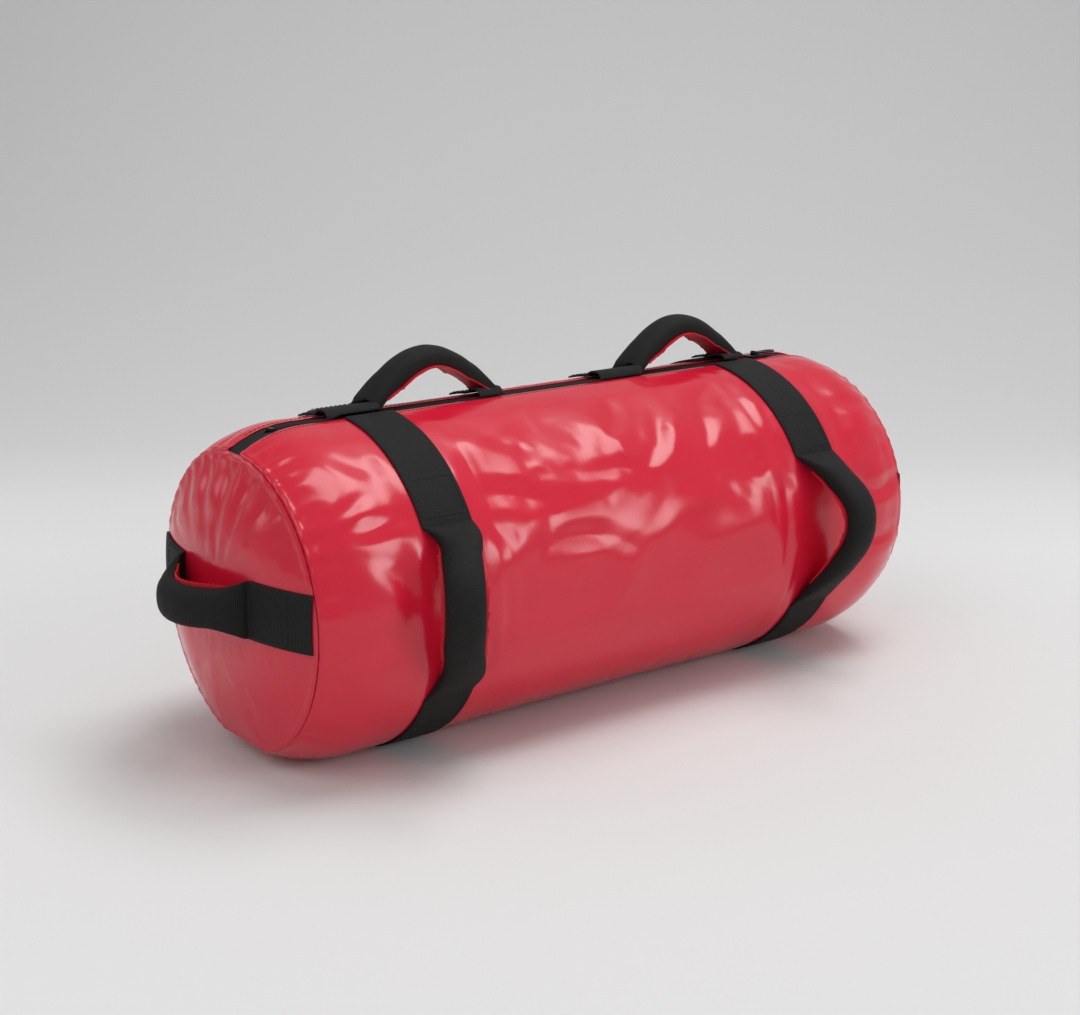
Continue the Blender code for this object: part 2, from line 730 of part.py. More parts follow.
def make_grip(loop):
    """The padded stretch of a handle: a webbing sleeve, its foam core and a vinyl lining."""
    wall = WEBBING_THICKNESS
    base = -GRIP_HEIGHT / 2
    lip = GRIP_HEIGHT * LIP_SHARE
    outer = [(-GRIP_WIDTH / 2, base)] + dome(GRIP_WIDTH, GRIP_HEIGHT - lip, base + lip)
    outer += [(GRIP_WIDTH / 2, base)]
    hole_width = GRIP_WIDTH - 2 * wall
    hole_height = GRIP_HEIGHT - lip - 2 * wall
    hole_base = base + wall
    inner = [(-hole_width / 2, hole_base)] + dome(hole_width, hole_height, hole_base + lip)
    inner += [(hole_width / 2, hole_base)]
    stations = grip_stations(loop)
    sleeve = skin(
        [section_at(loop, u, outer) for u in stations],
        [section_at(loop, u, inner) for u in stations],
        closed_across=True,
    )
    hinge = loop.middle + loop.out * loop.hinge_out
    add_object(loop.name + "_sleeve", sleeve, BLACK_WEBBING, hinge)
    core_width = hole_width - 2 * FIT_GAP
    core_base = hole_base + FIT_GAP
    core_outline = [(-core_width / 2, core_base)]
    core_outline += dome(core_width, hole_height - 2 * FIT_GAP, core_base + lip)
    core_outline += [(core_width / 2, core_base)]
    core = loft([section_at(loop, u, core_outline) for u in stations])
    add_object(loop.name + "_core", core, FOAM, hinge)
    under = base - FIT_GAP
    edges = (-LINING_WIDTH / 2, LINING_WIDTH / 2)
    lining = skin(
        [section_at(loop, u, [(a, under) for a in edges]) for u in stations],
        [section_at(loop, u, [(a, under - VINYL_THICKNESS) for a in edges]) for u in stations],
    )
    add_object(loop.name + "_lining", lining, RED_VINYL, hinge)


def leg_section(loop, u, share):
    """Upper and lower points across a leg; share runs from 0 at the root to 1 at the grip."""
    width = WEBBING_WIDTH + (GRIP_WIDTH - WEBBING_WIDTH) * share
    height = WEBBING_THICKNESS + (GRIP_HEIGHT - WEBBING_THICKNESS) * share
    base = -GRIP_HEIGHT / 2 * share
    lip = height * LIP_SHARE
    upper = dome(width, height - lip, base + lip)
    upper = [(a, o * share + (base + height) * (1 - share)) for a, o in upper]
    lower = [(a, base) for a, o in upper]
    return section_at(loop, u, upper), section_at(loop, u, lower)


def leg_rows(loop, side, start):
    """Rows of a leg from a place near the root, at share start, to just short of the grip."""
    reach = loop.grip[1 if side > 0 else 0] - side
    spare = FIT_GAP / (abs(reach) * loop.span / 2)
    rows = []
    for k in range(LEG_SEGMENTS + 1):
        share = start + (1 - spare - start) * k / LEG_SEGMENTS
        rows.append(leg_section(loop, side + reach * share, share))
    return rows


def add_rows_object(name, rows, look):
    add_object(name, skin([upper for upper, lower in rows], [lower for upper, lower in rows]), look)


# Top handles


def top_loop(word, centre_x):
    middle = (centre_x, TOP_SETBACK, BAG_TOP)
    along, out = (1, 0, 0), (0, 0, 1)
    sizes = (TOP_SPAN, TOP_ARCH, TOP_HINGE_RISE)
    return Loop(f"top_{word}_handle", middle, along, out, *sizes, TOP_GRIP_SHARES, power=TOP_ARCH_POWER)


def tab_columns():
    """Places across a strap or tab, as shares of its width, closer together at its edges."""
    return [0.5 - 0.5 * math.cos(math.pi * k / DOME_SEGMENTS) for k in range(DOME_SEGMENTS + 1)]


def tab_row(x, seat):
    """A tab lies on the bag behind the zip and bridges the zip with its front part."""
    upper, lower = [], []
    for share in tab_columns():
        y = TOP_SETBACK + TAB_WIDTH * (0.5 - share)
        rest = ring_point(x, seat, math.asin(min(max(y, BRIDGE_FOOT_EDGE), seat) / seat))
        lift = 1 - (min(y, BRIDGE_FOOT_EDGE) - BRIDGE_FLAT_EDGE) / (BRIDGE_FOOT_EDGE - BRIDGE_FLAT_EDGE)
        lift = min(max(lift, 0.0), 1.0)
        z = rest.z + (BAG_TOP + BRIDGE_RISE - rest.z) * lift
        lower.append(Vector((x, y, z)))
        upper.append(Vector((x, y, z + WEBBING_THICKNESS)))
    return upper, lower


def bent_rows(tab, leg, reach):
    """Rows of a smooth bend from the tab's last row to the leg's first row."""
    rows = []
    count = LEG_SEGMENTS
    for k in range(1, count):
        share = k / count
        middles, halves = [], []
        for j in range(len(tab[0])):
            start = (tab[0][j] + tab[1][j]) / 2
            end = (leg[0][0][j] + leg[0][1][j]) / 2
            after = (leg[1][0][j] + leg[1][1][j]) / 2
            pull_out = Vector((reach, 0, 0))
            pull_in = (after - end).normalized() * reach
            middles.append(bezier(start, start + pull_out, end - pull_in, end, share))
            thick_start = (tab[0][j] - tab[1][j]).length
            thick_end = (leg[0][0][j] - leg[0][1][j]).length
            halves.append((thick_start + (thick_end - thick_start) * share) / 2)
        rows.append((middles, halves))
    return rows


def bezier(a, b, c, d, share):
    rest = 1 - share
    return a * rest**3 + b * 3 * rest**2 * share + c * 3 * rest * share**2 + d * share**3


def thicken(rows, before, after):
    """Gives the bend's middle lines their thickness, square to the way they run."""
    lines = [before] + [middles for middles, halves in rows] + [after]
    result = []
    for i, (middles, halves) in enumerate(rows):
        upper, lower = [], []
        for j, middle in enumerate(middles):
            run = lines[i + 2][j] - lines[i][j]
            normal = Vector((-run.z, 0, run.x)).normalized()
            upper.append(middle + normal * halves[j])
            lower.append(middle - normal * halves[j])
        result.append((upper, lower))
    return result


def make_top_end(loop, name, side, tab_length, seat, reach):
    """Both tabs point away from the far end, so the right one folds back under its leg."""
    root = loop.middle.x + side * loop.span / 2
    tab = [tab_row(root - tab_length, seat), tab_row(root, seat)]
    leg = leg_rows(loop, side, TAB_LEG_START_SHARE)
    if side > 0:
        leg = [(lower, upper) for upper, lower in leg]
    before = [(a + b) / 2 for a, b in zip(*tab[-1])]
    after = [(a + b) / 2 for a, b in zip(*leg[0])]
    bend = thicken(bent_rows(tab[-1], leg, reach), before, after)
    add_rows_object(name, tab + bend + leg, BLACK_WEBBING)


def make_top_handles():
    on_shell = BARREL_RADIUS + 2 * FIT_GAP
    on_strap = STRAP_TOP + 2 * FIT_GAP
    for word, centre_x in (("left", TOP_LEFT_CENTRE), ("right", TOP_RIGHT_CENTRE)):
        loop = top_loop(word, centre_x)
        make_grip(loop)
        outer_seat, inner_seat = (on_strap, on_shell) if word == "left" else (on_shell, on_strap)
        make_top_end(loop, loop.name + "_left_tab", -1, OUTER_TAB_LENGTH, outer_seat, FOLD_REACH / 2)
        make_top_end(loop, loop.name + "_right_tab", 1, INNER_TAB_LENGTH, inner_seat, FOLD_REACH)


# Girth straps and the front handles that their free stretches carry


def strap_places():
    """Places across a strap, as distances from its middle."""
    return [WEBBING_WIDTH * (share - 0.5) for share in tab_columns()]


def strap_band(x, angles, places):
    """Rows round the barrel of a strap centred at x; it lies flat under the bag."""
    rows = []
    for angle in angles:
        lower = [raised(ring_point(x + a, STRAP_SEAT, angle), WEBBING_THICKNESS) for a in places]
        upper = [raised(ring_point(x + a, STRAP_TOP, angle), 0.0) for a in places]
        rows.append((upper, lower))
    return rows


def front_loop(word, side, swing):
    angle = math.radians(FRONT_ROOT_ANGLE)
    chord = STRAP_SEAT * math.cos(angle)
    middle = (side * STRAP_X, -chord, AXIS_HEIGHT)
    hinge_out = BARREL_RADIUS - chord - FRONT_HINGE_INSET
    sizes = (2 * STRAP_SEAT * math.sin(angle), FRONT_ARCH, hinge_out)
    lean = (FRONT_GRIP_SHARES, FRONT_SKEW, swing)
    return Loop(f"front_{word}_handle", middle, (0, 0, 1), (0, -1, 0), *sizes, *lean)


def make_girth_strap(word, side, swing):
    x = side * STRAP_X
    loop = front_loop(word, side, swing)
    make_grip(loop)
    zip_edge = math.asin((ZIP_HALF + STRAP_EDGE_MARGIN) / STRAP_SEAT)
    root = math.radians(90 - FRONT_ROOT_ANGLE)
    low_root = math.radians(90 + FRONT_ROOT_ANGLE)
    upper = strap_band(x, [-a for a in side_angles(zip_edge, root)], strap_places())
    upper += leg_rows(loop, 1, LEG_START_SHARE)
    add_rows_object(f"girth_strap_{word}_upper", upper, BLACK_WEBBING)
    front = [-a for a in side_angles(low_root, FLAT_EDGE_ANGLE)]
    back = list(reversed(side_angles(zip_edge, FLAT_EDGE_ANGLE)))
    edges = (-WEBBING_WIDTH / 2, WEBBING_WIDTH / 2)
    add_rows_object(f"girth_strap_{word}_lower", strap_band(x, front + back, edges), BLACK_WEBBING)
    add_rows_object(f"{loop.name}_lower_leg", leg_rows(loop, -1, LEG_START_SHARE), BLACK_WEBBING)


def end_loop(word, side):
    middle = (side * (panel_x(0) + FIT_GAP), 0, AXIS_HEIGHT + END_STRAP_RISE)
    along, out = (0, 1, 0), (side, 0, 0)
    sizes = (END_SPAN, END_ARCH, END_HINGE_RISE)
    return Loop(f"end_{word}_handle", middle, along, out, *sizes, TOP_GRIP_SHARES)


def end_strap_point(side, y, edge, offset):
    """A point on the end panel's face under the strap, raised by an offset."""
    rise = END_STRAP_RISE + edge
    radius = math.hypot(y, rise)
    return Vector((side * (panel_x(radius) + offset), y, AXIS_HEIGHT + rise))


def make_end_strap(word, side):
    loop = end_loop(word, side)
    make_grip(loop)
    half = WEBBING_WIDTH / 2
    limit = math.sqrt(SEAM_RADIUS**2 - (half + END_STRAP_RISE) ** 2)
    root = END_SPAN / 2
    for place, end in (("front", -1), ("back", 1)):
        rows = []
        for k in range(END_STRAP_SEGMENTS + 1):
            y = end * (limit + (root - limit) * k / END_STRAP_SEGMENTS)
            edges = [side * -a for a in strap_places()]
            lower = [end_strap_point(side, y, edge, 2 * FIT_GAP) for edge in edges]
            upper = [end_strap_point(side, y, edge, 2 * FIT_GAP + WEBBING_THICKNESS) for edge in edges]
            rows.append((upper, lower))
        rows += leg_rows(loop, end, LEG_START_SHARE)
        add_rows_object(f"end_strap_{word}_{place}", rows, BLACK_WEBBING)


# Filler pouches


def pouch_ring(x, radius, inset):
    """A ring inside the barrel, flat underneath and flat on top below the zip."""
    floor = VINYL_THICKNESS + WEBBING_THICKNESS + 2 * FIT_GAP + inset
    ceiling = AXIS_HEIGHT + outer_radius(x) - POUCH_TOP_DROP - inset
    points = full_ring(x, radius, INNER_SKIP_SEGMENTS)
    return [Vector((p.x, p.y, min(max(p.z, floor), ceiling))) for p in points]


def pouch_radius(x, inset):
    return outer_radius(x) - FOLD_DEPTH - VINYL_THICKNESS - FIT_GAP - inset


def pouch_rings(low, high, inset):
    """Rings of a pouch's body between two ends, rounded at the corners."""
    corner = POUCH_CORNER
    rings = [(low + inset, pouch_radius(low, inset) - corner)]
    for share in POUCH_SIDE_SHARES:
        x = low + corner + (high - low - 2 * corner) * share
        rings.append((x, pouch_radius(x, inset)))
    rings.append((high - inset, pouch_radius(high, inset) - corner))
    return rings


def make_pouch(word, low, high):
    """A cloth pouch with a gathered neck, its cinch band and the sand inside it."""
    wall = POUCH_WALL
    neck_tip = high + NECK_LENGTH
    outer = [(low, 0.0)] + pouch_rings(low, high, 0.0)
    outer += [(high, NECK_RADIUS), (neck_tip, NECK_RADIUS)]
    inner = [(low + wall, 0.0)] + pouch_rings(low, high, wall)
    inner += [(high - wall, NECK_RADIUS - wall), (neck_tip, NECK_RADIUS - wall)]
    build = bmesh.new()
    faces = []
    for profile, inset in ((outer, 0.0), (inner, wall)):
        centre = build.verts.new((profile[0][0], 0, AXIS_HEIGHT))
        rings = [[build.verts.new(p) for p in pouch_ring(x, r, inset)] for x, r in profile[1:]]
        count = len(rings[0])
        for j in range(count):
            build.faces.new((centre, rings[0][j], rings[0][(j + 1) % count]))
        for near, far in zip(rings, rings[1:]):
            for j in range(count):
                k = (j + 1) % count
                build.faces.new((near[j], near[k], far[k], far[j]))
        faces.append(rings[-1])
    count = len(faces[0])
    for j in range(count):
        k = (j + 1) % count
        build.faces.new((faces[0][j], faces[0][k], faces[1][k], faces[1][j]))
    add_object(f"filler_pouch_{word}", build, POUCH_CLOTH)
    inset = wall + FIT_GAP
    rings = [pouch_ring(x, r, inset) for x, r in pouch_rings(low, high, inset)]
    add_object(f"sand_fill_{word}", loft(rings), SAND)
    start = high + (NECK_LENGTH - CINCH_WIDTH) / 2
    ends = (start, start + CINCH_WIDTH)
    outside = NECK_RADIUS + FIT_GAP + CINCH_THICKNESS
    band = skin(
        [full_ring(x, outside, INNER_SKIP_SEGMENTS) for x in ends],
        [full_ring(x, NECK_RADIUS + FIT_GAP, INNER_SKIP_SEGMENTS) for x in ends],
        closed_across=True,
    )
    add_object(f"pouch_cinch_{word}", band, BLACK_WEBBING)


def make_pouches():
    end = SEAM_X - POUCH_END_INSET
    length = (2 * end - 3 * POUCH_SPACING) / 3
    for k, word in enumerate(("left", "middle", "right")):
        low = -end + k * (length + POUCH_SPACING)
        make_pouch(word, low, low + length)


def main():
    remove_everything()
    make_barrel_shell()
    for word, side in (("left", -1), ("right", 1)):
        make_end_panel("end_panel_" + word, side)
        make_seam_binding("seam_binding_" + word, side)
        make_end_strap(word, side)
    for word, side in (("front", -1), ("back", 1)):
        make_zip_half(word, side)
    make_zip_stops()
    make_zip_slider()
    make_zip_pull()
    make_top_handles()
    make_girth_strap("left", -1, FRONT_LEFT_SWING)
    make_girth_strap("right", 1, FRONT_RIGHT_SWING)
    make_pouches()


main()
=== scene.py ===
# %% [markdown]
# # A zipped sandbag trainer in glossy red vinyl
#
# This lesson dresses a finished CAD frame. The frame already holds every solid in its place, so
# each new piece is built around the same sizes and rides on the same moving bodies. Lengths are
# in metres, +X runs along the bag, -Y is its front and +Z is up.

import bmesh
import bpy
import math
import numpy as np
from mathutils import Matrix, Vector


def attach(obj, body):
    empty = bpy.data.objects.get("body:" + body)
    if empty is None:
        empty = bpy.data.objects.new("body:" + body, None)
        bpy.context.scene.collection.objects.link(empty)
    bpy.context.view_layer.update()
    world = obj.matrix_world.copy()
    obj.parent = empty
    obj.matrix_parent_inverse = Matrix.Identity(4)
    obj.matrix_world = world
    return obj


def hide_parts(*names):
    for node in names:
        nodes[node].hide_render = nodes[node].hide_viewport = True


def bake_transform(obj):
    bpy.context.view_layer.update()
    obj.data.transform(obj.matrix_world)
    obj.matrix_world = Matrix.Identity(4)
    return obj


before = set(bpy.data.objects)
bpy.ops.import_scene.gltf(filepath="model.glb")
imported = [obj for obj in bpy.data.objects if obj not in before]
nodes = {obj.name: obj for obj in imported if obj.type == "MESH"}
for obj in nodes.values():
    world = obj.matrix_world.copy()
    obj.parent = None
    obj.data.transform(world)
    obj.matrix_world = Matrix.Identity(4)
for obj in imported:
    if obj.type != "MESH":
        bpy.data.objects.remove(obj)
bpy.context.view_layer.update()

# %% [markdown]
# The camera stands where the photograph was taken: low, round from the front towards the near
# end, with a short telephoto lens. Its three directions are given outright, which leaves nothing
# to a tracking constraint.

# %% Camera
AXIS_HEIGHT = 0.1089449
CAMERA_RIGHT = Vector((0.79033, -0.61268, 0.0))
CAMERA_UP = Vector((0.15249, 0.19675, 0.96852))
CAMERA_BACK = Vector((-0.59340, -0.76545, 0.24892))
CAMERA_PLACE = (-0.8136, -1.0306, 0.3592 + AXIS_HEIGHT)
LENS_LENGTH, SENSOR_WIDTH = 61.75, 36.0


def place_camera():
    lens = bpy.data.cameras.new("studio_camera")
    lens.lens, lens.sensor_width = LENS_LENGTH, SENSOR_WIDTH
    camera = bpy.data.objects.new("studio_camera", lens)
    turn = Matrix((CAMERA_RIGHT, CAMERA_UP, CAMERA_BACK)).transposed().to_4x4()
    camera.matrix_world = Matrix.Translation(CAMERA_PLACE) @ turn
    bpy.context.scene.collection.objects.link(camera)
    bpy.context.scene.camera = camera
    return camera


print("camera at", [round(v, 3) for v in place_camera().location])

# %% [markdown]
# Shader maths reads best as plain sums. A `Wire` holds one output of a node tree, and adding or
# multiplying wires adds the Math nodes. A `Finish` is one material with a single method that
# makes every other node.

# %% Shader helpers


class Wire:
    """One output in a material; sums on it add Math nodes."""

    def __init__(self, finish, socket):
        self.finish, self.socket = finish, socket

    def sum(self, operation, first, second):
        return self.finish.node("ShaderNodeMath", {"operation": operation}, {0: first, 1: second})

    def __add__(self, other):
        return self.sum("ADD", self, other)

    def __sub__(self, other):
        return self.sum("SUBTRACT", self, other)

    def __rsub__(self, other):
        return self.sum("SUBTRACT", other, self)

    def __mul__(self, other):
        return self.sum("MULTIPLY", self, other)

    def __truediv__(self, other):
        return self.sum("DIVIDE", self, other)

    __radd__, __rmul__ = __add__, __mul__


def grey(level):
    return (level, level, level, 1)


class Finish:
    """A material built round one Principled shader."""

    def __init__(self, name, **constants):
        self.material = bpy.data.materials.new(name)
        self.material.use_nodes = True
        self.tree = self.material.node_tree
        self.shader = self.tree.nodes["Principled BSDF"]
        for socket, value in constants.items():
            self.shader.inputs[socket.replace("_", " ")].default_value = value

    def node(self, kind, settings, values, output=0):
        made = self.tree.nodes.new(kind)
        for key, value in settings.items():
            if key == "stops":
                self.set_stops(made.color_ramp, value)
            else:
                setattr(made, key, value)
        for socket, value in values.items():
            self.feed(made.inputs[socket], value)
        return Wire(self, made.outputs[output])

    def set_stops(self, ramp, stops):
        while len(ramp.elements) < len(stops):
            ramp.elements.new(0.5)
        for element, (place, level) in zip(ramp.elements, stops):
            element.position, element.color = place, grey(level)

    def feed(self, socket, value):
        if isinstance(value, Wire):
            self.tree.links.new(value.socket, socket)
        else:
            socket.default_value = value

    def paint(self, colour, roughness):
        self.feed(self.shader.inputs["Base Color"], colour)
        self.feed(self.shader.inputs["Roughness"], roughness)

    def place(self):
        """Where a point lies on its piece, in metres."""
        return self.node("ShaderNodeTexCoord", {}, {}, "Object")

    def run(self):
        """Along the webbing and across it, in metres, as the mesh stores it."""
        return self.node("ShaderNodeAttribute", {"attribute_name": "run"}, {}, "Vector")

    def split(self, vector):
        parts = self.node("ShaderNodeSeparateXYZ", {}, {0: vector}).socket.node.outputs
        return [Wire(self, part) for part in parts]

    def waves(self, value, pitch):
        """A sine that comes round again after each pitch."""
        return self.node("ShaderNodeMath", {"operation": "SINE"}, {0: value * (2 * math.pi / pitch)})

    def noise(self, vector, scale, detail=3.0, roughness=0.5):
        values = {"Vector": vector, "Scale": scale, "Detail": detail, "Roughness": roughness}
        return self.node("ShaderNodeTexNoise", {}, values, "Fac")

    def ramp(self, value, *stops):
        return self.node("ShaderNodeValToRGB", {"stops": stops}, {"Fac": value}, "Color")

    def mix(self, share, first, second):
        return self.node("ShaderNodeMix", {"data_type": "RGBA"}, {0: share, 6: first, 7: second}, 2)

    def bump(self, *layers):
        """Stacks heights, each with its own depth in metres, into one normal."""
        normal = None
        for height, depth in layers:
            values = {"Height": height, "Distance": depth, "Strength": 1.0}
            if normal is not None:
                values["Normal"] = normal
            normal = self.node("ShaderNodeBump", {}, values, "Normal")
        self.feed(self.shader.inputs["Normal"], normal)


print("helpers ready")

# %% [markdown]
# The bag is PVC coated cloth: a soft glossy skin over a fine scrim that just prints through. A
# picture of vinyl would bring its own highlights, so noise and waves make the surface instead.
# The base layer is glossy by itself, so the studio's panels show as broad soft patches. Slow
# noise dulls it a little here and there and moves the red between two close shades.

# %% Red vinyl
SCRIM_PITCH = 0.0011
SMEAR_DEPTH, SCRIM_DEPTH, GRAIN_DEPTH = 0.00010, 0.000003, 0.000006
WORN_DEPTH, SCUFF_DEPTH = 0.0002, 0.00004


def red_vinyl():
    finish = Finish("red vinyl", IOR=1.53)
    place = finish.place()
    blotch = finish.noise(place, 14.0, 4.0, 0.55)
    smear = finish.noise(place, 60.0, 3.0, 0.6)
    red = finish.mix(blotch, (0.60, 0.008, 0.030, 1), (0.68, 0.012, 0.042, 1))
    finish.paint(red, 0.12 + 0.08 * blotch + 0.05 * smear)
    x, _, z = finish.split(place)
    scrim = finish.waves(x, SCRIM_PITCH) * finish.waves(z, SCRIM_PITCH)
    grain = finish.noise(place, 420.0, 2.0)
    finish.bump((smear, SMEAR_DEPTH), (scrim, SCRIM_DEPTH), (grain, GRAIN_DEPTH))
    return finish.material


def lining_vinyl():
    """The same vinyl worn matt, as it lines the handles."""
    finish = Finish("lining vinyl", Specular_IOR_Level=0.25)
    place = finish.place()
    blotch = finish.noise(place, 90.0, 4.0, 0.6)
    red = finish.mix(blotch, (0.50, 0.006, 0.018, 1), (0.68, 0.010, 0.030, 1))
    finish.paint(red, 0.42 + 0.2 * blotch)
    finish.bump((blotch, WORN_DEPTH), (finish.noise(place, 700.0, 2.0), SCUFF_DEPTH))
    return finish.material


RED_VINYL, LINING = red_vinyl(), lining_vinyl()
print("made", RED_VINYL.name, LINING.name)

# %% [markdown]
# The webbing is heavy black nylon, with fine ribs across its width and a plain weave within each
# rib. A texture laid through space would slide at the bends, so the mesh stores how far each
# point lies along and across the band, and the ribs are waves of those two lengths.

# %% Webbing and tape
RIB_PITCH, CORD_PITCH, TAPE_PITCH = 0.00125, 0.0009, 0.0007
WEBBING_DEPTH, TAPE_DEPTH, FUZZ_SHARE = 0.00022, 0.00010, 0.35


def woven_black(name, rib, cord, depth, lit, dark):
    finish = Finish(name, Specular_IOR_Level=0.12)
    along, across, _ = finish.split(finish.run())
    ribs, cords = finish.waves(along, rib), finish.waves(across, cord)
    weave = 0.5 + 0.3 * ribs + 0.2 * (ribs * cords)
    fuzz = finish.noise(finish.place(), 900.0, 3.0, 0.7)
    wear = finish.noise(finish.place(), 35.0, 4.0, 0.6)
    shade = 0.55 * weave + 0.25 * fuzz + 0.3 * wear
    finish.paint(finish.mix(shade, dark, lit), 0.50 + 0.25 * fuzz)
    finish.bump((weave, depth), (fuzz, depth * FUZZ_SHARE))
    return finish.material


WEBBING = woven_black("black webbing", RIB_PITCH, CORD_PITCH, WEBBING_DEPTH,
                      (0.024, 0.025, 0.0235, 1), grey(0.004))
TAPE = woven_black("zip tape", TAPE_PITCH, TAPE_PITCH, TAPE_DEPTH, grey(0.030), grey(0.008))
print("made", WEBBING.name, TAPE.name)

# %% [markdown]
# Sewing thread is twisted from a few plies, so it is speckled along its length. The coil is
# moulded nylon and smoother. The slider and its pull are zinc with black enamel that has rubbed
# thinner in patches. Foam, pouch cloth and sand stay inside the bag, yet each gets its own
# surface, because a cut view or an opened zip would show them. All are one recipe: two shades, a
# range of roughness and a depth, each led by the same grain.

# %% Thread, hardware and fillings


def speckled(name, scale, dark, lit, rough, depth, detail=5.0, grit=0.65, **constants):
    finish = Finish(name, **constants)
    grain = finish.noise(finish.place(), scale, detail, grit)
    finish.paint(finish.mix(grain, dark, lit), rough[0] + (rough[1] - rough[0]) * grain)
    finish.bump((grain, depth))
    return finish.material


def thread(name, dark, lit):
    return speckled(name, 1500.0, dark, lit, (0.45, 0.75), 0.0001, 2.0, 0.5, Specular_IOR_Level=0.4)


BLACK_THREAD = thread("black thread", grey(0.006), grey(0.020))
RED_THREAD = thread("red thread", (0.22, 0.004, 0.012, 1), (0.42, 0.01, 0.03, 1))
COIL = speckled("coil nylon", 700.0, (0.010, 0.010, 0.011, 1), (0.030, 0.030, 0.032, 1),
                (0.32, 0.5), 0.00003)
ENAMEL = speckled("black enamel", 300.0, (0.012, 0.012, 0.013, 1), (0.05, 0.05, 0.055, 1),
                  (0.25, 0.45), 0.00003, Metallic=0.85)
FOAM = speckled("grip foam", 1200.0, grey(0.10), grey(0.30), (0.8, 0.95), 0.0003)
POUCH_CLOTH = speckled("pouch cloth", 900.0, (0.015, 0.016, 0.02, 1), (0.05, 0.052, 0.06, 1),
                       (0.7, 0.9), 0.0002)
SAND = speckled("sand", 1600.0, (0.30, 0.21, 0.11, 1), (0.62, 0.50, 0.32, 1), (0.8, 0.95), 0.0004)
print("made", [finish.name for finish in (BLACK_THREAD, RED_THREAD, COIL, ENAMEL, FOAM, POUCH_CLOTH, SAND)])

# %% [markdown]
# Most pieces here are sheets or tubes, so one function turns rows of points into a mesh, gives it
# its finish and says which body it rides and which CAD nodes it stands for. Modelling by hand
# would hide how the sizes hang together; a grid of points keeps every seam where it can be found.

# %% Grids to meshes
CREASE_ANGLE = math.radians(58)


def face_outward(mesh):
    """Turns the faces of a closed mesh outward; an open sheet keeps the way it was made."""
    build = bmesh.new()
    build.from_mesh(mesh)
    if all(edge.is_manifold for edge in build.edges):
        bmesh.ops.recalc_face_normals(build, faces=build.faces)
        build.to_mesh(mesh)
    build.free()


def put(name, points, faces, material, body=None, replaces=(), run=None):
    mesh = bpy.data.meshes.new(name)
    mesh.from_pydata(np.asarray(points, float).reshape(-1, 3).tolist(), [], faces)
    mesh.validate()
    mesh.materials.append(material)
    face_outward(mesh)
    mesh.shade_smooth()
    mesh.set_sharp_from_angle(angle=CREASE_ANGLE)
    if run is not None:
        store = mesh.attributes.new("run", "FLOAT_VECTOR", "POINT")
        store.data.foreach_set("vector", np.asarray(run, np.float32).ravel())
    piece = bpy.data.objects.new(name, mesh)
    bpy.context.scene.collection.objects.link(piece)
    if body:
        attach(piece, body)
    if replaces:
        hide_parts(*replaces)
    return piece


def grid_faces(rows, columns, around=False, start=0):
    faces = []
    for i in range(rows - 1):
        for j in range(columns if around else columns - 1):
            k = (j + 1) % columns
            a, b = start + i * columns, start + (i + 1) * columns
            faces.append((a + j, a + k, b + k, b + j))
    return faces


def tube_faces(rows, columns, start=0):
    ends = [tuple(start + j for j in reversed(range(columns)))]
    ends.append(tuple(start + (rows - 1) * columns + j for j in range(columns)))
    return grid_faces(rows, columns, True, start) + ends


print("a sheet of 3 by 3 points has", len(grid_faces(3, 3)), "faces")

# %% [markdown]
# A few curves come back in every soft piece: a smooth step, a bell, the length along a path, and
# a gentle unevenness. The last one sums a few waves with random headings. Each call brings its own
# seed, so the bag comes out the same every time.

# %% Curves
TURN = 2 * math.pi


def smooth_share(t):
    t = np.clip(t, 0.0, 1.0)
    return t * t * (3 - 2 * t)


def bell(distance, width):
    return np.exp(-((distance / width) ** 2))


def lengths_along(path):
    return np.concatenate([[0], np.cumsum(np.linalg.norm(np.diff(path, axis=0), axis=1))])


def ripple(a, b, size, seed):
    """Unevenness between about -1 and 1 over two lengths."""
    dice = np.random.RandomState(seed)
    total = 0
    for _ in range(7):
        heading, phase = dice.uniform(0, TURN, 2)
        pitch = size * dice.uniform(0.6, 1.6)
        reach = a * math.cos(heading) + b * math.sin(heading)
        total = total + np.sin(TURN * reach / pitch + phase)
    return total / 3.5


print("half way up a smooth step:", float(smooth_share(0.5)))

# %% [markdown]
# The barrel is one sheet of vinyl round a heavy filling. A perfect tube would look like plastic
# pipe, so the sheet starts as the CAD's own profile and is then let go in a short cloth
# simulation: it is held at its seams, under the straps, along the zip and on the floor, it is cut
# a little too large, and a light pressure fills it, which makes the slack buckle as real vinyl
# does. How far a point may move is capped, so straps and handles keep their seats.

# %% Barrel sizes
MM = 0.001
SEAM_X, SHOULDER, SHOULDER_POWER = 0.2625, 0.048, 2.3
RADIUS, SEAM_RADIUS = 0.113, 0.0995
STRAP_X, STRAP_HALF = 0.1654, 0.019
STRAP_FADE, STRAP_LIFT, STRAP_SPARE = 0.006, 0.0018, 0.001
ZIP_HALF, VINYL = 0.0082, 0.0009
FLOOR_COSINE = -AXIS_HEIGHT / RADIUS


def barrel_radius(x):
    share = np.clip((np.abs(x) - (SEAM_X - SHOULDER)) / SHOULDER, 0, 1)
    return RADIUS - (RADIUS - SEAM_RADIUS) * share**SHOULDER_POWER


def round_place(x, turn, radius):
    """A point at an angle from the top towards the front; the underside is pressed flat."""
    drop = np.maximum(np.cos(turn), FLOOR_COSINE)
    return np.stack([x + 0 * turn, -radius * np.sin(turn), AXIS_HEIGHT + radius * drop], -1)


def from_top(turn):
    """How far an angle is from the top, whichever way round is shorter."""
    return np.minimum(turn, TURN - turn)


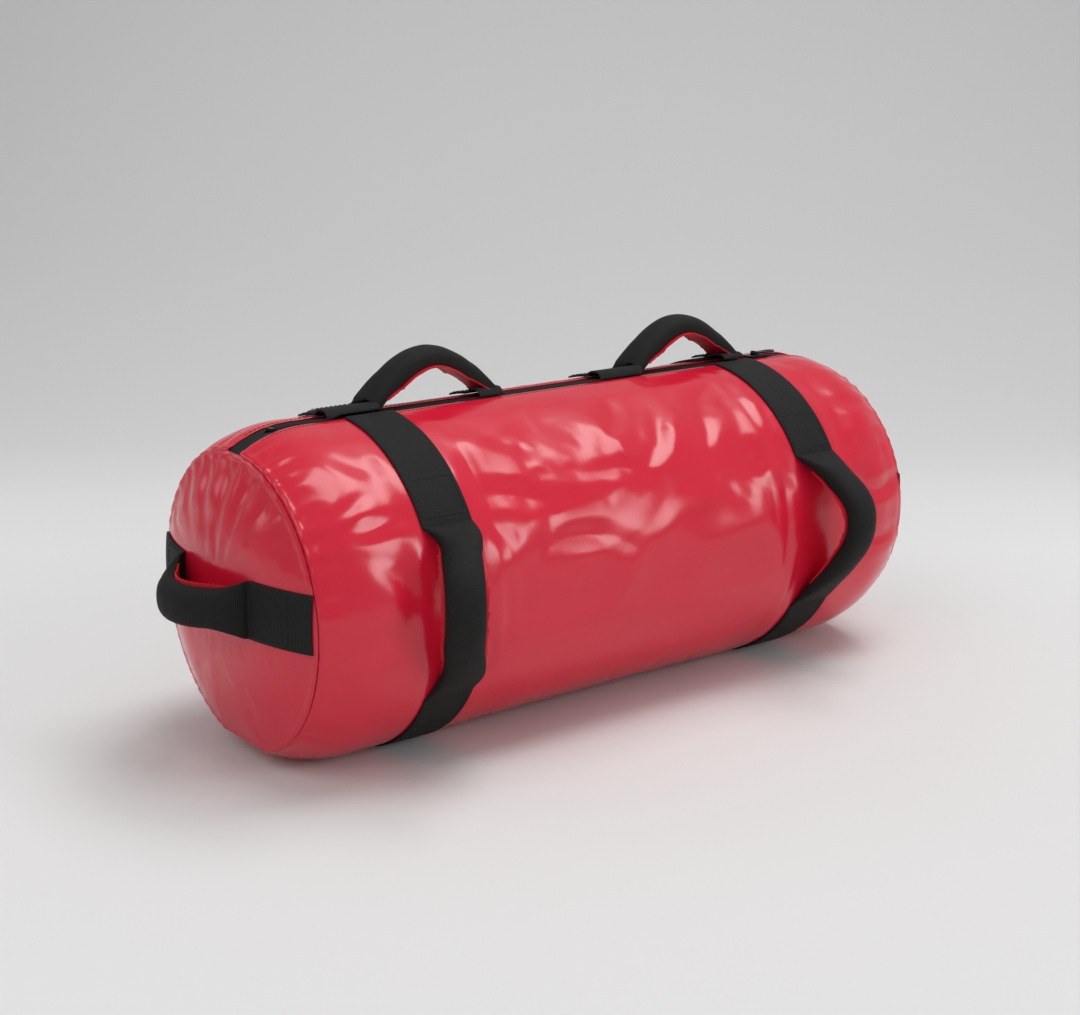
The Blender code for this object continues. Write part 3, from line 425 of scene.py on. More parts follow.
def near_strap(x, spare=0.0):
    """1 under a girth strap and 0 beyond its edges."""
    return 1 - smooth_share((np.abs(np.abs(x) - STRAP_X) - STRAP_HALF - spare) / STRAP_FADE)


def keep_off_floor(points, x):
    """Stops the sheet at the floor, or on a strap that lies between the two."""
    points[..., 2] = np.maximum(points[..., 2], STRAP_LIFT * near_strap(x, STRAP_SPARE))
    return points


print("barrel radius at the seam:", float(barrel_radius(SEAM_X)))

# %% [markdown]
# Rows crowd together at the seams, where the vinyl puckers. The grid keeps its order through the
# simulation, so seams and stitches can be laid on it later.

# %% Barrel sheet before it is let go
SEAM_ROWS_MM = (0.0, 0.9, 1.9, 3.0, 4.2, 5.6, 7.2, 9.0, 11.2, 13.8)
SEAM_SPARE, LAST_SEAM_ROW = 0.0004, 0.017


def barrel_rows(middle_rows):
    seam = SEAM_X - SEAM_SPARE - np.array(SEAM_ROWS_MM) * MM
    middle = np.linspace(LAST_SEAM_ROW - SEAM_X, SEAM_X - LAST_SEAM_ROW, middle_rows)
    return np.concatenate([-seam, middle, seam[::-1]])


def barrel_grid(middle_rows, turns):
    x, share = np.meshgrid(barrel_rows(middle_rows), np.linspace(0, 1, turns), indexing="ij")
    edge = np.arcsin(ZIP_HALF / barrel_radius(x))
    turn = edge + share * 2 * (math.pi - edge)
    return x, turn, keep_off_floor(round_place(x, turn, barrel_radius(x)), x)


BARREL_X, BARREL_TURN, BARREL_POINTS = barrel_grid(150, 340)
print("barrel sheet:", BARREL_POINTS.shape[:2], "points")

# %% [markdown] One function lets any sheet go: it pins what is held, runs the simulation for
# a few frames, and returns where the points went.

# %% Letting a sheet go
CLOTH_FRAMES = 18


def let_go(name, points, faces, held, pressure, slack):
    sheet = put(name, points, faces, RED_VINYL)
    group = sheet.vertex_groups.new(name="held")
    for index, weight in enumerate(held):
        if weight > 0.01:
            group.add([index], float(weight), "REPLACE")
    cloth = sheet.modifiers.new("slack", "CLOTH")
    cloth.settings.quality = 6
    cloth.settings.mass = 0.25
    cloth.settings.tension_stiffness = cloth.settings.compression_stiffness = 25
    cloth.settings.shear_stiffness = 12
    cloth.settings.bending_stiffness = 0.6
    cloth.settings.vertex_group_mass = "held"
    cloth.settings.use_pressure = True
    cloth.settings.uniform_pressure_force = pressure
    cloth.settings.shrink_min = -slack
    cloth.settings.effector_weights.gravity = 0
    scene = bpy.context.scene
    for step in range(1, CLOTH_FRAMES + 1):
        scene.frame_set(step)
    shaped = sheet.evaluated_get(bpy.context.evaluated_depsgraph_get()).to_mesh()
    moved = np.zeros(len(points) * 3)
    shaped.vertices.foreach_get("co", moved)
    scene.frame_set(1)
    bpy.data.objects.remove(sheet)
    return moved.reshape(-1, 3)


def capped(points, moved, normals, inward, outward, sideways):
    """Moves each point as the cloth did, but no further than it has room for."""
    step = moved - points
    rise = (step * normals).sum(1)
    along = step - normals * rise[:, None]
    length = np.linalg.norm(along, axis=1, keepdims=True) + 1e-9
    along *= np.minimum(1, sideways / length)
    return along + normals * np.clip(rise, -inward, outward)[:, None]


print("quick look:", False)

# %% [markdown]
# The folds that the photograph shows are then pressed in one by one, each as a long shallow dent at its own
# place, heading and depth. A dent is a V with a rounded foot, a low shoulder beside it and a slight wander,
# because a straight even groove looks machined.

# %% Dents of the barrel
DENTS = [  # x, turn in degrees, half length, half width, heading in degrees, depth, all lengths in mm
    (-104, 54, 46, 7, 8, 1.7), (-60, 60, 38, 6, -16, 1.2), (-18, 52, 34, 6, 14, 1.3),
    (4, 30, 30, 5, -58, 1.2), (30, 42, 34, 5, -52, 1.4), (54, 30, 30, 5, -50, 1.1),
    (78, 44, 28, 5, -62, 1.0), (96, 28, 26, 4, -44, 0.9), (-88, 34, 30, 5, 38, 0.9),
    (-124, 70, 26, 5, 60, 1.1), (-132, 40, 22, 5, -70, 0.8), (20, 66, 40, 6, -24, 1.1),
    (64, 64, 34, 6, 28, 1.0), (104, 58, 30, 5, -30, 1.0), (-36, 76, 34, 6, 18, 0.9),
    (-214, 56, 26, 5, 6, 1.7), (-226, 48, 14, 4, -12, 1.4), (-204, 76, 22, 5, 40, 1.0),
    (-216, 30, 20, 5, 30, 0.9), (210, 60, 26, 6, -10, 1.2), (226, 40, 20, 5, 35, 1.1),
    (238, 77, 26, 5, 0, 2.6), (236, 97, 24, 5, -14, 2.2), (-60, 300, 44, 7, 20, 1.3),
    (20, 312, 40, 6, -30, 1.3), (80, 290, 38, 7, 15, 1.2), (-116, 318, 30, 6, -50, 1.1),
    (214, 300, 26, 6, 20, 1.2), (-214, 304, 26, 6, -24, 1.3), (-10, 262, 44, 7, 6, 1.0),
    (60, 334, 26, 5, 60, 0.9),
]
WANDER_MM, WANDER_PITCH_MM, SHOULDER_SHARE = 3.0, 11.0, 0.35


def pressed_dents(x, turn):
    total = np.zeros_like(x)
    for spot, angle, length, width, heading, depth in DENTS:
        a, b = x / MM - spot, (turn - math.radians(angle)) * RADIUS / MM
        c, s = math.cos(math.radians(heading)), math.sin(math.radians(heading))
        along, across = a * c + b * s, b * c - a * s
        across = across + WANDER_MM * np.sin(along / WANDER_PITCH_MM + spot)
        reach = bell(along, length)
        flank = np.sqrt((across / (2.1 * width)) ** 2 + 0.012)
        valley = np.clip(1 - flank, 0, 1) ** 1.25 * reach
        shoulder = bell(across - 2.4 * width, 1.5 * width) * reach
        total += depth * MM * (SHOULDER_SHARE * shoulder - valley)
    return total


deepest = float(pressed_dents(BARREL_X, BARREL_TURN).min())
print("dents:", len(DENTS), "deepest", round(deepest / MM, 2), "mm")

# %% [markdown]
# The CAD carries the main folds itself, as waves folded about zero so that they sink between
# sharp ridges, and the sheet repeats its rule. Smaller facets of the same kind fill the spaces.
# Short pleats gather at the end seams, where the flat panel is eased onto the round barrel.

# %% Folds and pleats of the barrel
FOLD_WAVES = ((5.0, 3.1, 0.7), (-7.5, 1.7, 2.1), (1.0, 6.4, 2.0), (5.8, 5.1, 4.4), (1.2, -5.6, 2.5))
FOLD_DEPTH, FOLD_FULL_SUM, FOLD_FADE = 0.0030, 2.2, 0.020
FOLD_LOWEST, FOLD_TOP_FRONT, FOLD_TOP_BACK, FOLD_FADE_DEGREES = 105, 16.0, 26.0, 12.0
CRUMPLE_DEPTH, CRUMPLE_SIZE = 0.0007, 0.085
PLEAT_DEPTH, PLEAT_PITCH, PLEAT_PLACE, PLEAT_REACH = 0.0008, 0.0135, 0.007, 0.013
PUCKER_DEPTH, PUCKER_PITCH, PUCKER_PLACE, PUCKER_REACH = 0.00012, 0.0046, 0.0012, 0.0028
FOLD_SPARE, ZIP_SPARE, ZIP_FADE = 0.0006, 0.003, 0.012


def fold_depth(x, turn):
    """The frame's own folds: how far the vinyl sinks between two sharp ridges."""
    side = np.where(turn > math.pi, turn - TURN, turn)
    around = side * RADIUS
    total = sum(np.sin(TURN * (a * x + b * around) + phase) for a, b, phase in FOLD_WAVES)
    from_strap = np.abs(np.abs(x) - STRAP_X) - STRAP_HALF - FOLD_SPARE
    edge = smooth_share(np.minimum(from_strap, SEAM_X - np.abs(x)) / FOLD_FADE)
    angle = np.abs(np.degrees(side))
    top = np.where(side > 0, FOLD_TOP_FRONT, FOLD_TOP_BACK)
    round_it = np.minimum(angle - top, FOLD_LOWEST - angle) / FOLD_FADE_DEGREES
    sunk = np.minimum(np.sqrt(total * total + 0.10) / FOLD_FULL_SUM, 1.0)
    return FOLD_DEPTH * sunk * edge * smooth_share(round_it)


def crumple(x, turn):
    """Smaller facets between soft creases; the lower half is taut."""
    arc = turn * RADIUS
    wave = ripple(x + 0.3 * arc, arc - 0.25 * x, CRUMPLE_SIZE, 43)
    slack = 0.15 + 0.85 * smooth_share((1.55 - from_top(turn)) / 0.35)
    return CRUMPLE_DEPTH * (0.45 - np.sqrt(wave * wave + 0.03)) * slack


def seam_pleats(x, turn):
    from_seam = SEAM_X - np.abs(x)
    arc = turn * SEAM_RADIUS
    phase = np.where(x < 0, 3, 8)
    wave = np.sin(TURN * arc / PLEAT_PITCH + 2.2 * ripple(arc, 0 * arc, 0.06, 5) + phase)
    pull = (0.25 + 0.75 * bell(from_top(turn), 1.0)) * (0.6 + 0.4 * ripple(arc, x, 0.05, 7))
    fine = np.sin(TURN * arc / PUCKER_PITCH + 3 * ripple(arc, 0 * arc, 0.03, 9))
    deep = PLEAT_DEPTH * pull * wave * bell(from_seam - PLEAT_PLACE, PLEAT_REACH)
    return deep + PUCKER_DEPTH * fine * bell(from_seam - PUCKER_PLACE, PUCKER_REACH)


def free_vinyl(x, turn):
    """1 where the vinyl is free to fold, 0 under straps, beside the zip and on the floor."""
    beside_zip = smooth_share((from_top(turn) * RADIUS - ZIP_HALF - ZIP_SPARE) / ZIP_FADE)
    on_floor = smooth_share((np.cos(turn) - FLOOR_COSINE) / 0.03)
    return (1 - near_strap(x)) * beside_zip * on_floor


print("frame's deepest fold:", round(float(fold_depth(BARREL_X, BARREL_TURN).max()) / MM, 2), "mm")

# %% [markdown]
# Simulating the whole fine sheet would take minutes. A coarser sheet of the same shape is let go
# instead, and the fine one reads its moves in between the coarse points.

# %% The slack of the barrel
BARREL_PRESSURE, BARREL_SLACK, SLACK_SHARE = 2.5, 0.02, 0.25
LEVEL_ROW = 60  # a row between the shoulders in both sheets


def grid_normals(points, around=False):
    across = np.gradient(points, axis=1)
    if around:
        across = (np.roll(points, -1, 1) - np.roll(points, 1, 1)) / 2
    normal = np.cross(across, np.gradient(points, axis=0))
    return normal / (np.linalg.norm(normal, axis=-1, keepdims=True) + 1e-12)


def outward(x, turn, points):
    normal = grid_normals(points)
    away = round_place(x, turn, RADIUS + 1) - round_place(x, turn, RADIUS)
    return normal * np.sign((normal * away).sum(-1, keepdims=True))


def finer(values, old, new):
    """Reads rows of values at new places between the old ones."""
    place = np.interp(new, old, np.arange(len(old)))
    low = np.clip(place.astype(int), 0, len(old) - 2)
    share = smooth_share(place - low)[:, None, None]
    return values[low] * (1 - share) + values[low + 1] * share


def slackened(middle_rows=84, turns=150):
    """How the barrel's sheet moves when it is let go, on a coarser grid."""
    x, turn, points = barrel_grid(middle_rows, turns)
    held = 1 - smooth_share(free_vinyl(x, turn) * 3)
    held[:2], held[-2:], held[:, :2], held[:, -2:] = 1, 1, 1, 1
    flat = points.reshape(-1, 3)
    moved = let_go("barrel_slack", flat, grid_faces(*x.shape), held.ravel(), BARREL_PRESSURE, BARREL_SLACK)
    normal = outward(x, turn, points).reshape(-1, 3)
    step = capped(flat, moved, normal, inward=0.0022, outward=0.0028, sideways=0.0015)
    rows = finer(step.reshape(points.shape), x[:, 0], BARREL_X[:, 0])
    columns = finer(rows.transpose(1, 0, 2), turn[LEVEL_ROW], BARREL_TURN[LEVEL_ROW])
    return columns.transpose(1, 0, 2)


BARREL_MOVES = slackened()
print("largest move:", round(float(np.abs(BARREL_MOVES).max()) / MM, 2), "mm")

# %% [markdown]
# Now everything is added up: the moves of the simulation, the dents and facets where the vinyl is
# free, the frame's folds, the pleats, and a low ridge along the stitched seam. Both ends of the
# sheet turn inward, where they are sewn to the end panels.

# %% Barrel of red vinyl
RIDGE_HEIGHT, RIDGE_WIDTH, RIDGE_PLACE, PLEAT_FADE = 0.0007, 0.0014, 0.0022, 0.02
ALLOWANCE_DEPTHS = (0.004, 0.011)
AXIS = np.array([0, 0, AXIS_HEIGHT])


def shaped_barrel():
    x, turn = BARREL_X, BARREL_TURN
    free = free_vinyl(x, turn)
    lift = free * (pressed_dents(x, turn) + crumple(x, turn)) - fold_depth(x, turn)
    ease = smooth_share(from_top(turn) * RADIUS / PLEAT_FADE)
    lift += seam_pleats(x, turn) * smooth_share((np.cos(turn) + 0.93) / 0.1) * ease
    lift += RIDGE_HEIGHT * bell(SEAM_X - np.abs(x) - RIDGE_PLACE, RIDGE_WIDTH)
    points = BARREL_POINTS + BARREL_MOVES * (SLACK_SHARE * free[..., None])
    points += outward(x, turn, BARREL_POINTS) * lift[..., None]
    return keep_off_floor(points, x)


def turned_in(points, row, depth):
    """The same ring again, that much nearer to the bag's axis."""
    radial = (points[row] - AXIS) * (0, 1, 1)
    return (points[row] - radial / np.linalg.norm(radial, axis=1, keepdims=True) * depth)[None]


def thicken(piece, depth=VINYL):
    """Gives a sheet its thickness, on its inner side."""
    solid = piece.modifiers.new("thickness", "SOLIDIFY")
    solid.thickness, solid.offset = depth, -1.0


def make_barrel():
    shape = shaped_barrel()
    near = [turned_in(shape, 0, depth) for depth in reversed(ALLOWANCE_DEPTHS)]
    far = [turned_in(shape, -1, depth) for depth in ALLOWANCE_DEPTHS]
    sheet = np.concatenate(near + [shape] + far)
    barrel = put("barrel", sheet, grid_faces(*sheet.shape[:2]), RED_VINYL, "bag", ["barrel_shell"])
    thicken(barrel)
    return barrel


print("barrel:", len(make_barrel().data.vertices), "points")

# %% [markdown]
# The end panels are flat discs of vinyl pushed out by the filling. Each is sewn to a slightly
# longer edge, so its top gathers into soft pleats that fade towards the middle. A polar grid
# keeps its rings round the seam, where the detail is.

# %% Pleats of the end panels
BULGE, BULGE_POWER = 0.018, 2.5
PANEL_FOLDS = [  # turn in degrees, length, half width, depth in mm, slant
    (-75, 24, 4.0, 0.5, 0.3), (-56, 28, 4.5, 0.7, 0.2), (-37, 34, 5.0, 1.2, 0.1), (-18, 40, 5.5, 1.8, 0.0),
    (1, 46, 4.8, 2.6, 0.0), (17, 46, 4.4, 2.8, -0.02), (32, 34, 4.2, 2.4, -0.06), (47, 18, 3.0, 0.8, -0.1),
    (60, 18, 3.4, 0.6, 0.1), (124, 20, 3.0, 1.0, 0.3), (-125, 20, 4.0, 0.5, 0.2),
]
PANEL_OUT, PANEL_RIDGE_PLACE, PANEL_FOLD_FADE = 0.00015, 0.002, 0.016
PANEL_WAVE_DEPTH, PANEL_WAVE_SIZE, PANEL_WAVE_FADE = 0.0007, 0.11, 0.02
PANEL_PUCKER_DEPTH, PANEL_PUCKER_PITCH, PANEL_PUCKER_PLACE, PANEL_PUCKER_REACH = 0.0003, 0.0052, 0.0015, 0.003
GATHER_DEPTH, GATHER_PITCH, GATHER_REACH = 0.0007, 0.0145, 0.0055


def panel_reach(radius):
    return SEAM_X + PANEL_OUT + BULGE * (1 - (radius / SEAM_RADIUS) ** BULGE_POWER)


def panel_pleats(turn, radius, seed):
    """Short folds from the seam towards the middle, with a narrow ridge along the stitches."""
    arc = turn * SEAM_RADIUS
    from_rim = SEAM_RADIUS - radius
    wave = ripple(arc * radius / SEAM_RADIUS, radius, PANEL_WAVE_SIZE, seed)
    total = PANEL_WAVE_DEPTH * wave * smooth_share(from_rim / PANEL_WAVE_FADE)
    for spot, length, width, depth, slant in PANEL_FOLDS:
        swing = (turn - math.radians(spot) + math.pi) % TURN - math.pi
        across = (swing * (0.35 * SEAM_RADIUS + 0.65 * radius) + slant * from_rim) / MM
        fade = bell(from_rim / MM, length) * smooth_share(from_rim / PANEL_FOLD_FADE)
        valley = 0.5 + 0.5 * np.cos(math.pi * np.clip(np.abs(across) / (2.1 * width), 0, 1))
        total = total - depth * MM * valley * fade
    fine = np.sin(TURN * arc / PANEL_PUCKER_PITCH + 3 * ripple(arc, 0 * arc, 0.05, 5))
    total = total + PANEL_PUCKER_DEPTH * fine * bell(from_rim - PANEL_PUCKER_PLACE, PANEL_PUCKER_REACH)
    gather = np.sin(TURN * arc / GATHER_PITCH + 2.5 * ripple(arc, 0 * arc, 0.05, 11))
    gather = gather * bell(from_top(turn), 1.0) * bell(from_rim - GATHER_REACH, GATHER_REACH)
    total = total + GATHER_DEPTH * gather
    return total + RIDGE_HEIGHT * bell(from_rim - PANEL_RIDGE_PLACE, RIDGE_WIDTH)


print("panel stands out", round((panel_reach(0) - SEAM_X) / MM, 1), "mm")

# %% [markdown]
# The panel's sheet is let go too, held at its rim and under the strap that crosses it. Its faces
# run the other way on the left end, so that the outer side of the sheet is the one in view.

# %% End panels
PANEL_RIMS_MM = (0.0, 0.8, 1.6, 2.6, 3.8, 5.2, 6.8)
PANEL_PRESSURE, PANEL_SLACK, PANEL_SLACK_SHARE = 2.0, 0.015, 0.3
PANEL_RINGS_FROM, PANEL_RINGS_TO, PANEL_LIP, PANEL_LIP_REACH = 0.009, 0.0035, 0.0003, 0.002
END_RISE, END_STRAP_COVER, END_STRAP_FADE, RIM_HOLD = 0.008, 0.0195, 0.009, 0.004


def panel_points(side):
    radii = np.concatenate([SEAM_RADIUS - np.array(PANEL_RIMS_MM) * MM,
                            np.linspace(SEAM_RADIUS - PANEL_RINGS_FROM, PANEL_RINGS_TO, 40)])
    radius, turn = np.meshgrid(radii, np.linspace(0, TURN, 192, endpoint=False), indexing="ij")
    points = round_place(0 * radius, turn, radius)
    lip = PANEL_LIP * np.exp((radius - SEAM_RADIUS) / PANEL_LIP_REACH)
    points[..., 0] = side * (panel_reach(radius) + lip)
    normal = grid_normals(points, around=True)
    normal *= np.sign(normal[..., :1]) * side
    return radius, turn, points, normal


def panel_faces(rows, columns, side):
    faces = grid_faces(rows, columns, True) + [tuple((rows - 1) * columns + j for j in range(columns))]
    return faces if side > 0 else [tuple(reversed(face)) for face in faces]


def panel_allowance(ring, side, depth):
    """The panel's rim turned in beside the barrel's."""
    narrower = 1 - depth / SEAM_RADIUS
    return (ring - AXIS) * (1, narrower, narrower) + AXIS - (side * SEAM_SPARE, 0, 0)


def make_end_panel(word, side):
    radius, turn, points, normal = panel_points(side)
    from_strap = np.abs(points[..., 2] - AXIS_HEIGHT - END_RISE) - END_STRAP_COVER
    strap = 1 - smooth_share(from_strap / END_STRAP_FADE)
    held = np.maximum(smooth_share((radius - SEAM_RADIUS + RIM_HOLD) / RIM_HOLD), strap)
    flat = points.reshape(-1, 3)
    moved = let_go("panel_slack", flat, panel_faces(*radius.shape, side), held.ravel(),
                   PANEL_PRESSURE, PANEL_SLACK)
    step = capped(flat, moved, normal.reshape(-1, 3), inward=0.0015, outward=0.002, sideways=0.001)
    free = (1 - strap)[..., None]
    lift = panel_pleats(turn, radius, side + 23)[..., None]
    shape = points + (step.reshape(points.shape) * PANEL_SLACK_SHARE + normal * lift) * free
    rims = [panel_allowance(shape[:1], side, depth) for depth in reversed(ALLOWANCE_DEPTHS)]
    sheet = np.concatenate(rims + [shape])
    panel = put(f"end_panel_{word}_vinyl", sheet, panel_faces(*sheet.shape[:2], side), RED_VINYL,
                "bag", [f"end_panel_{word}"])
    thicken(panel)
    return panel


ENDS = (("left", -1), ("right", 1))
for word, side in ENDS:
    print(make_end_panel(word, side).name)

# %% [markdown]
# All six handles are arches between two sewn roots. A `Loop` repeats the frame's own rule for
# each arch: how high it stands, how it leans, and which way it faces at each place from one root
# at -1 to the other at 1. Building on the rule, and not on the CAD's faces, keeps the new pieces
# smooth.

# %% Handle loops


class Loop:
    """The arch of one handle, with the same rule as the solid beneath it."""

    def __init__(self, kind, word, middle, along, out, span, arch, hinge_out, grip,
                 skew=0.0, swing=0.0, power=2.2):
        self.kind, self.word, self.name = kind, word, f"{kind}_{word}"
        self.body = self.name + "_handle"
        self.middle, self.along, self.out = Vector(middle), Vector(along), Vector(out)
        self.across = self.along.cross(self.out)
        self.span, self.arch, self.hinge_out = span, arch, hinge_out
        self.grip, self.skew, self.swing, self.power = grip, skew, math.radians(swing), power

    def height(self, u):
        return self.arch * (1 - abs(u - self.skew * (1 - u * u)) ** self.power)

    def directions(self, u):
        low, high = self.grip
        share = float(smooth_share(min((1 + u) / (1 + low), (1 - u) / (1 - high))))
        spin = Matrix.Rotation(self.swing * share, 3, self.along)
        return spin @ self.out, spin @ self.across

    def centre(self, u):
        out = self.directions(u)[0]
        hinge = self.middle + self.out * self.hinge_out
        return hinge + self.along * (u * self.span / 2) + out * (self.height(u) - self.hinge_out)

    def frame(self, u):
        """The place and the directions along, across and out there."""
        tangent = (self.centre(u + 0.01) - self.centre(u - 0.01)).normalized()
        out, across = self.directions(u)
        normal = tangent.cross(across).normalized()
        if normal.dot(out) < 0:
            normal = -normal
        return [np.array(v) for v in (self.centre(u), tangent, across, normal)]

    def reach(self, end):
        """From the root at -1 or 1 to the near end of the grip."""
        return self.grip[1 if end > 0 else 0] - end


print("a loop knows:", [name for name in vars(Loop) if not name.startswith("_")])

# %% [markdown]
# The six loops take their places from the barrel. The top pair stands behind the zip, the front
# pair grows out of the girth straps and leans, and each end has one across its panel.

# %% The six loops
WEB_WIDTH, WEB_THICK = 0.038, 0.0015
BAG_TOP, STRAP_SEAT = AXIS_HEIGHT + RADIUS, RADIUS + 0.0003
EVEN_GRIP, FRONT_GRIP = (-0.62, 0.62), (-0.30, 0.78)
TOP_SPAN, TOP_ARCH, TOP_POWER, TOP_HINGE = 0.102, 0.0326, 1.9, 0.004
TOP_LEFT_X, TOP_RIGHT_X, TAB_Y = -0.1054, 0.1265, 0.012
HIGH_ROOT, LOW_ROOT = math.radians(60), math.radians(120)
FRONT_ARCH, FRONT_SKEW = 0.050, 0.25
END_SPAN, END_ARCH, END_HINGE, END_SEAT = 0.084, 0.030, 0.0035, 0.0003


def top_loop(word, x):
    return Loop("top", word, (x, TAB_Y, BAG_TOP), (1, 0, 0), (0, 0, 1), TOP_SPAN, TOP_ARCH, TOP_HINGE,
                EVEN_GRIP, power=TOP_POWER)


def front_loop(word, side, swing):
    half_angle = (LOW_ROOT - HIGH_ROOT) / 2
    chord = STRAP_SEAT * math.cos(half_angle)
    return Loop("front", word, (side * STRAP_X, -chord, AXIS_HEIGHT), (0, 0, 1), (0, -1, 0),
                2 * STRAP_SEAT * math.sin(half_angle), FRONT_ARCH, RADIUS - chord - 0.001, FRONT_GRIP,
                FRONT_SKEW, swing)


def end_loop(word, side):
    middle = (side * (panel_reach(0) + END_SEAT), 0, AXIS_HEIGHT + END_RISE)
    return Loop("end", word, middle, (0, 1, 0), (side, 0, 0), END_SPAN, END_ARCH, END_HINGE, EVEN_GRIP)


TOP_LOOPS = [top_loop("left", TOP_LEFT_X), top_loop("right", TOP_RIGHT_X)]
FRONT_LOOPS = [front_loop("left", -1, -29.0), front_loop("right", 1, 7.0)]
END_LOOPS = [end_loop(word, side) for word, side in ENDS]
LOOPS = TOP_LOOPS + FRONT_LOOPS + END_LOOPS
print("loops:", [loop.name for loop in LOOPS])

# %% [markdown]
# A grip is webbing wrapped over a foam core, so its section is a flattened dome with square lower edges. It
# is padded by hand and never quite even: slow ripples run along it. The section shrinks into a flat band
# towards each root.

# %% Sections of a handle
GRIP_WIDTH, GRIP_HEIGHT, GRIP_BASE, LIP_SHARE = 0.0258, 0.0118, 0.0065, 0.17
UNEVENNESS = 0.00022
ACROSS = -np.cos(np.linspace(0, math.pi, 19))


def edge_thickness(across):
    """Webbing is full in the middle and thinner along both edges."""
    return WEB_THICK * (1 - 0.35 * np.abs(across) ** 24)


def section_faces(share, extra=0.0):
    """Upper and lower (across, out) points of a leg or grip; share is 0 at the root, 1 at the grip."""
    wide, rounding = 1 - (1 - share) ** 2, 1 - (1 - share) ** 1.5
    width = WEB_WIDTH + (GRIP_WIDTH - WEB_WIDTH) * wide - 2 * extra
    height = WEB_THICK + (GRIP_HEIGHT - WEB_THICK) * rounding - 2 * extra
    base = -GRIP_BASE * share + extra
    lip = height * LIP_SHARE
    arc = np.sin(np.linspace(0, math.pi, len(ACROSS)))
    dome = base + lip + (height - lip) * arc**0.7
    flat = base + height * (1 - 0.35 * np.abs(ACROSS) ** 24)
    upper = np.stack([ACROSS * width / 2, dome * rounding + flat * (1 - rounding)], -1)
    lower = np.stack([ACROSS * width / 2 * (1 - 0.02 * np.abs(ACROSS) ** 8), base + 0 * ACROSS], -1)
    return upper, lower


def loop_row(loop, u, share, extra=0.0):
    """Upper and lower points of one row of a handle, in place."""
    centre, _, across, normal = loop.frame(u)
    upper, lower = section_faces(share, extra)
    wave = ripple(u * 0.05, upper[:, 0], 0.02, len(loop.name))
    puff = 1 + share * UNEVENNESS / GRIP_BASE * wave[:, None]
    top = centre + upper[:, :1] * across + upper[:, 1:] * normal * puff
    return top, centre + lower[:, :1] * across + lower[:, 1:] * normal


def rows_piece(name, rows, material, body=None, replaces=()):
    """A closed piece through rows of upper and lower points, with the run of its weave."""
    rings = np.array([np.concatenate([upper, lower[::-1]]) for upper, lower in rows])
    along = lengths_along([upper[len(upper) // 2] for upper, lower in rows])
    girth = np.array([lengths_along(ring) for ring in rings])
    run = np.stack([along[:, None] + 0 * girth, girth, 0 * girth], -1)
    return put(name, rings, tube_faces(*rings.shape[:2]), material, body, replaces, run)


print("points across a band:", len(ACROSS))

# %% [markdown]
# Each grip is two closed pieces, the woven sleeve and the foam inside it, and both ride the handle's own
# body.

# %% Grips
SLEEVE_THICK = 0.0018


def make_grip(loop):
    places = np.linspace(*loop.grip, 60)
    sleeve = rows_piece(loop.name + "_grip", [loop_row(loop, u, 1.0) for u in places], WEBBING,
                        loop.body, [loop.body + "_sleeve"])
    inside = [loop_row(loop, u, 1.0, SLEEVE_THICK) for u in places[1:-1:2]]
    core = rows_piece(loop.name + "_foam", inside, FOAM, loop.body, [loop.body + "_core"])
    return sleeve


for loop in LOOPS:
    print(make_grip(loop).name)

# %% [markdown]
# The girth straps lie flat on the barrel and leave it at the two roots of a front handle. The upper stretch
# and its leg are one piece, and the lower leg is another. The stretch that goes under the bag stays with the
# bag.

# %% Girth straps and front legs
UPPER_BEND, LOWER_BEND = (0.1656, 0.1545), (0.0523, 0.0919)
STRAP_FROM_ZIP, STRAP_WAVE, STRAP_WAVE_SIZE = 0.0015, 0.00012, 0.05


def leg_rows(loop, end, low, foot=0.0):
    """Rows of a leg towards the grip; end is -1 or 1 for its root, foot how padded it is there."""
    shares = np.linspace(low, 1, 18)
    return [loop_row(loop, end + loop.reach(end) * share, foot + (1 - foot) * share) for share in shares]


def strap_row(x, turn):
    """A row across a strap that lies on the barrel."""
    places = x + ACROSS * WEB_WIDTH / 2
    wave = STRAP_WAVE * ripple(places, 0 * places + turn * RADIUS, STRAP_WAVE_SIZE, 31)
    upper = round_place(places, turn, STRAP_SEAT + edge_thickness(ACROSS) + wave)
    lower = round_place(places, turn, STRAP_SEAT + 0 * places)
    upper[:, 2] = np.maximum(upper[:, 2], 0.0)
    lower[:, 2] = np.maximum(lower[:, 2], WEB_THICK)
    return upper, lower


def make_girth_strap(loop):
    x = loop.middle.x
    top = math.asin((ZIP_HALF + STRAP_FROM_ZIP) / STRAP_SEAT)
    name = f"girth_strap_{loop.word}"
    rows = [strap_row(x, turn) for turn in np.linspace(top, HIGH_ROOT, 44)] + leg_rows(loop, 1, 0.04)
    upper = rows_piece(name + "_front", rows, WEBBING, None, [name + "_upper"])
    rows = [strap_row(x, turn) for turn in np.linspace(LOW_ROOT, TURN - top, 150)]
    rows_piece(name + "_under", rows, WEBBING, "bag", [name + "_lower"])
    leg = rows_piece(loop.name + "_leg", leg_rows(loop, -1, 0.02), WEBBING, None,
                     [loop.body + "_lower_leg"])
    for piece, (still, moving) in ((upper, UPPER_BEND), (leg, LOWER_BEND)):
        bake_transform(piece)
    return upper, leg


for loop in FRONT_LOOPS:
    print([piece.name for piece in make_girth_strap(loop)])
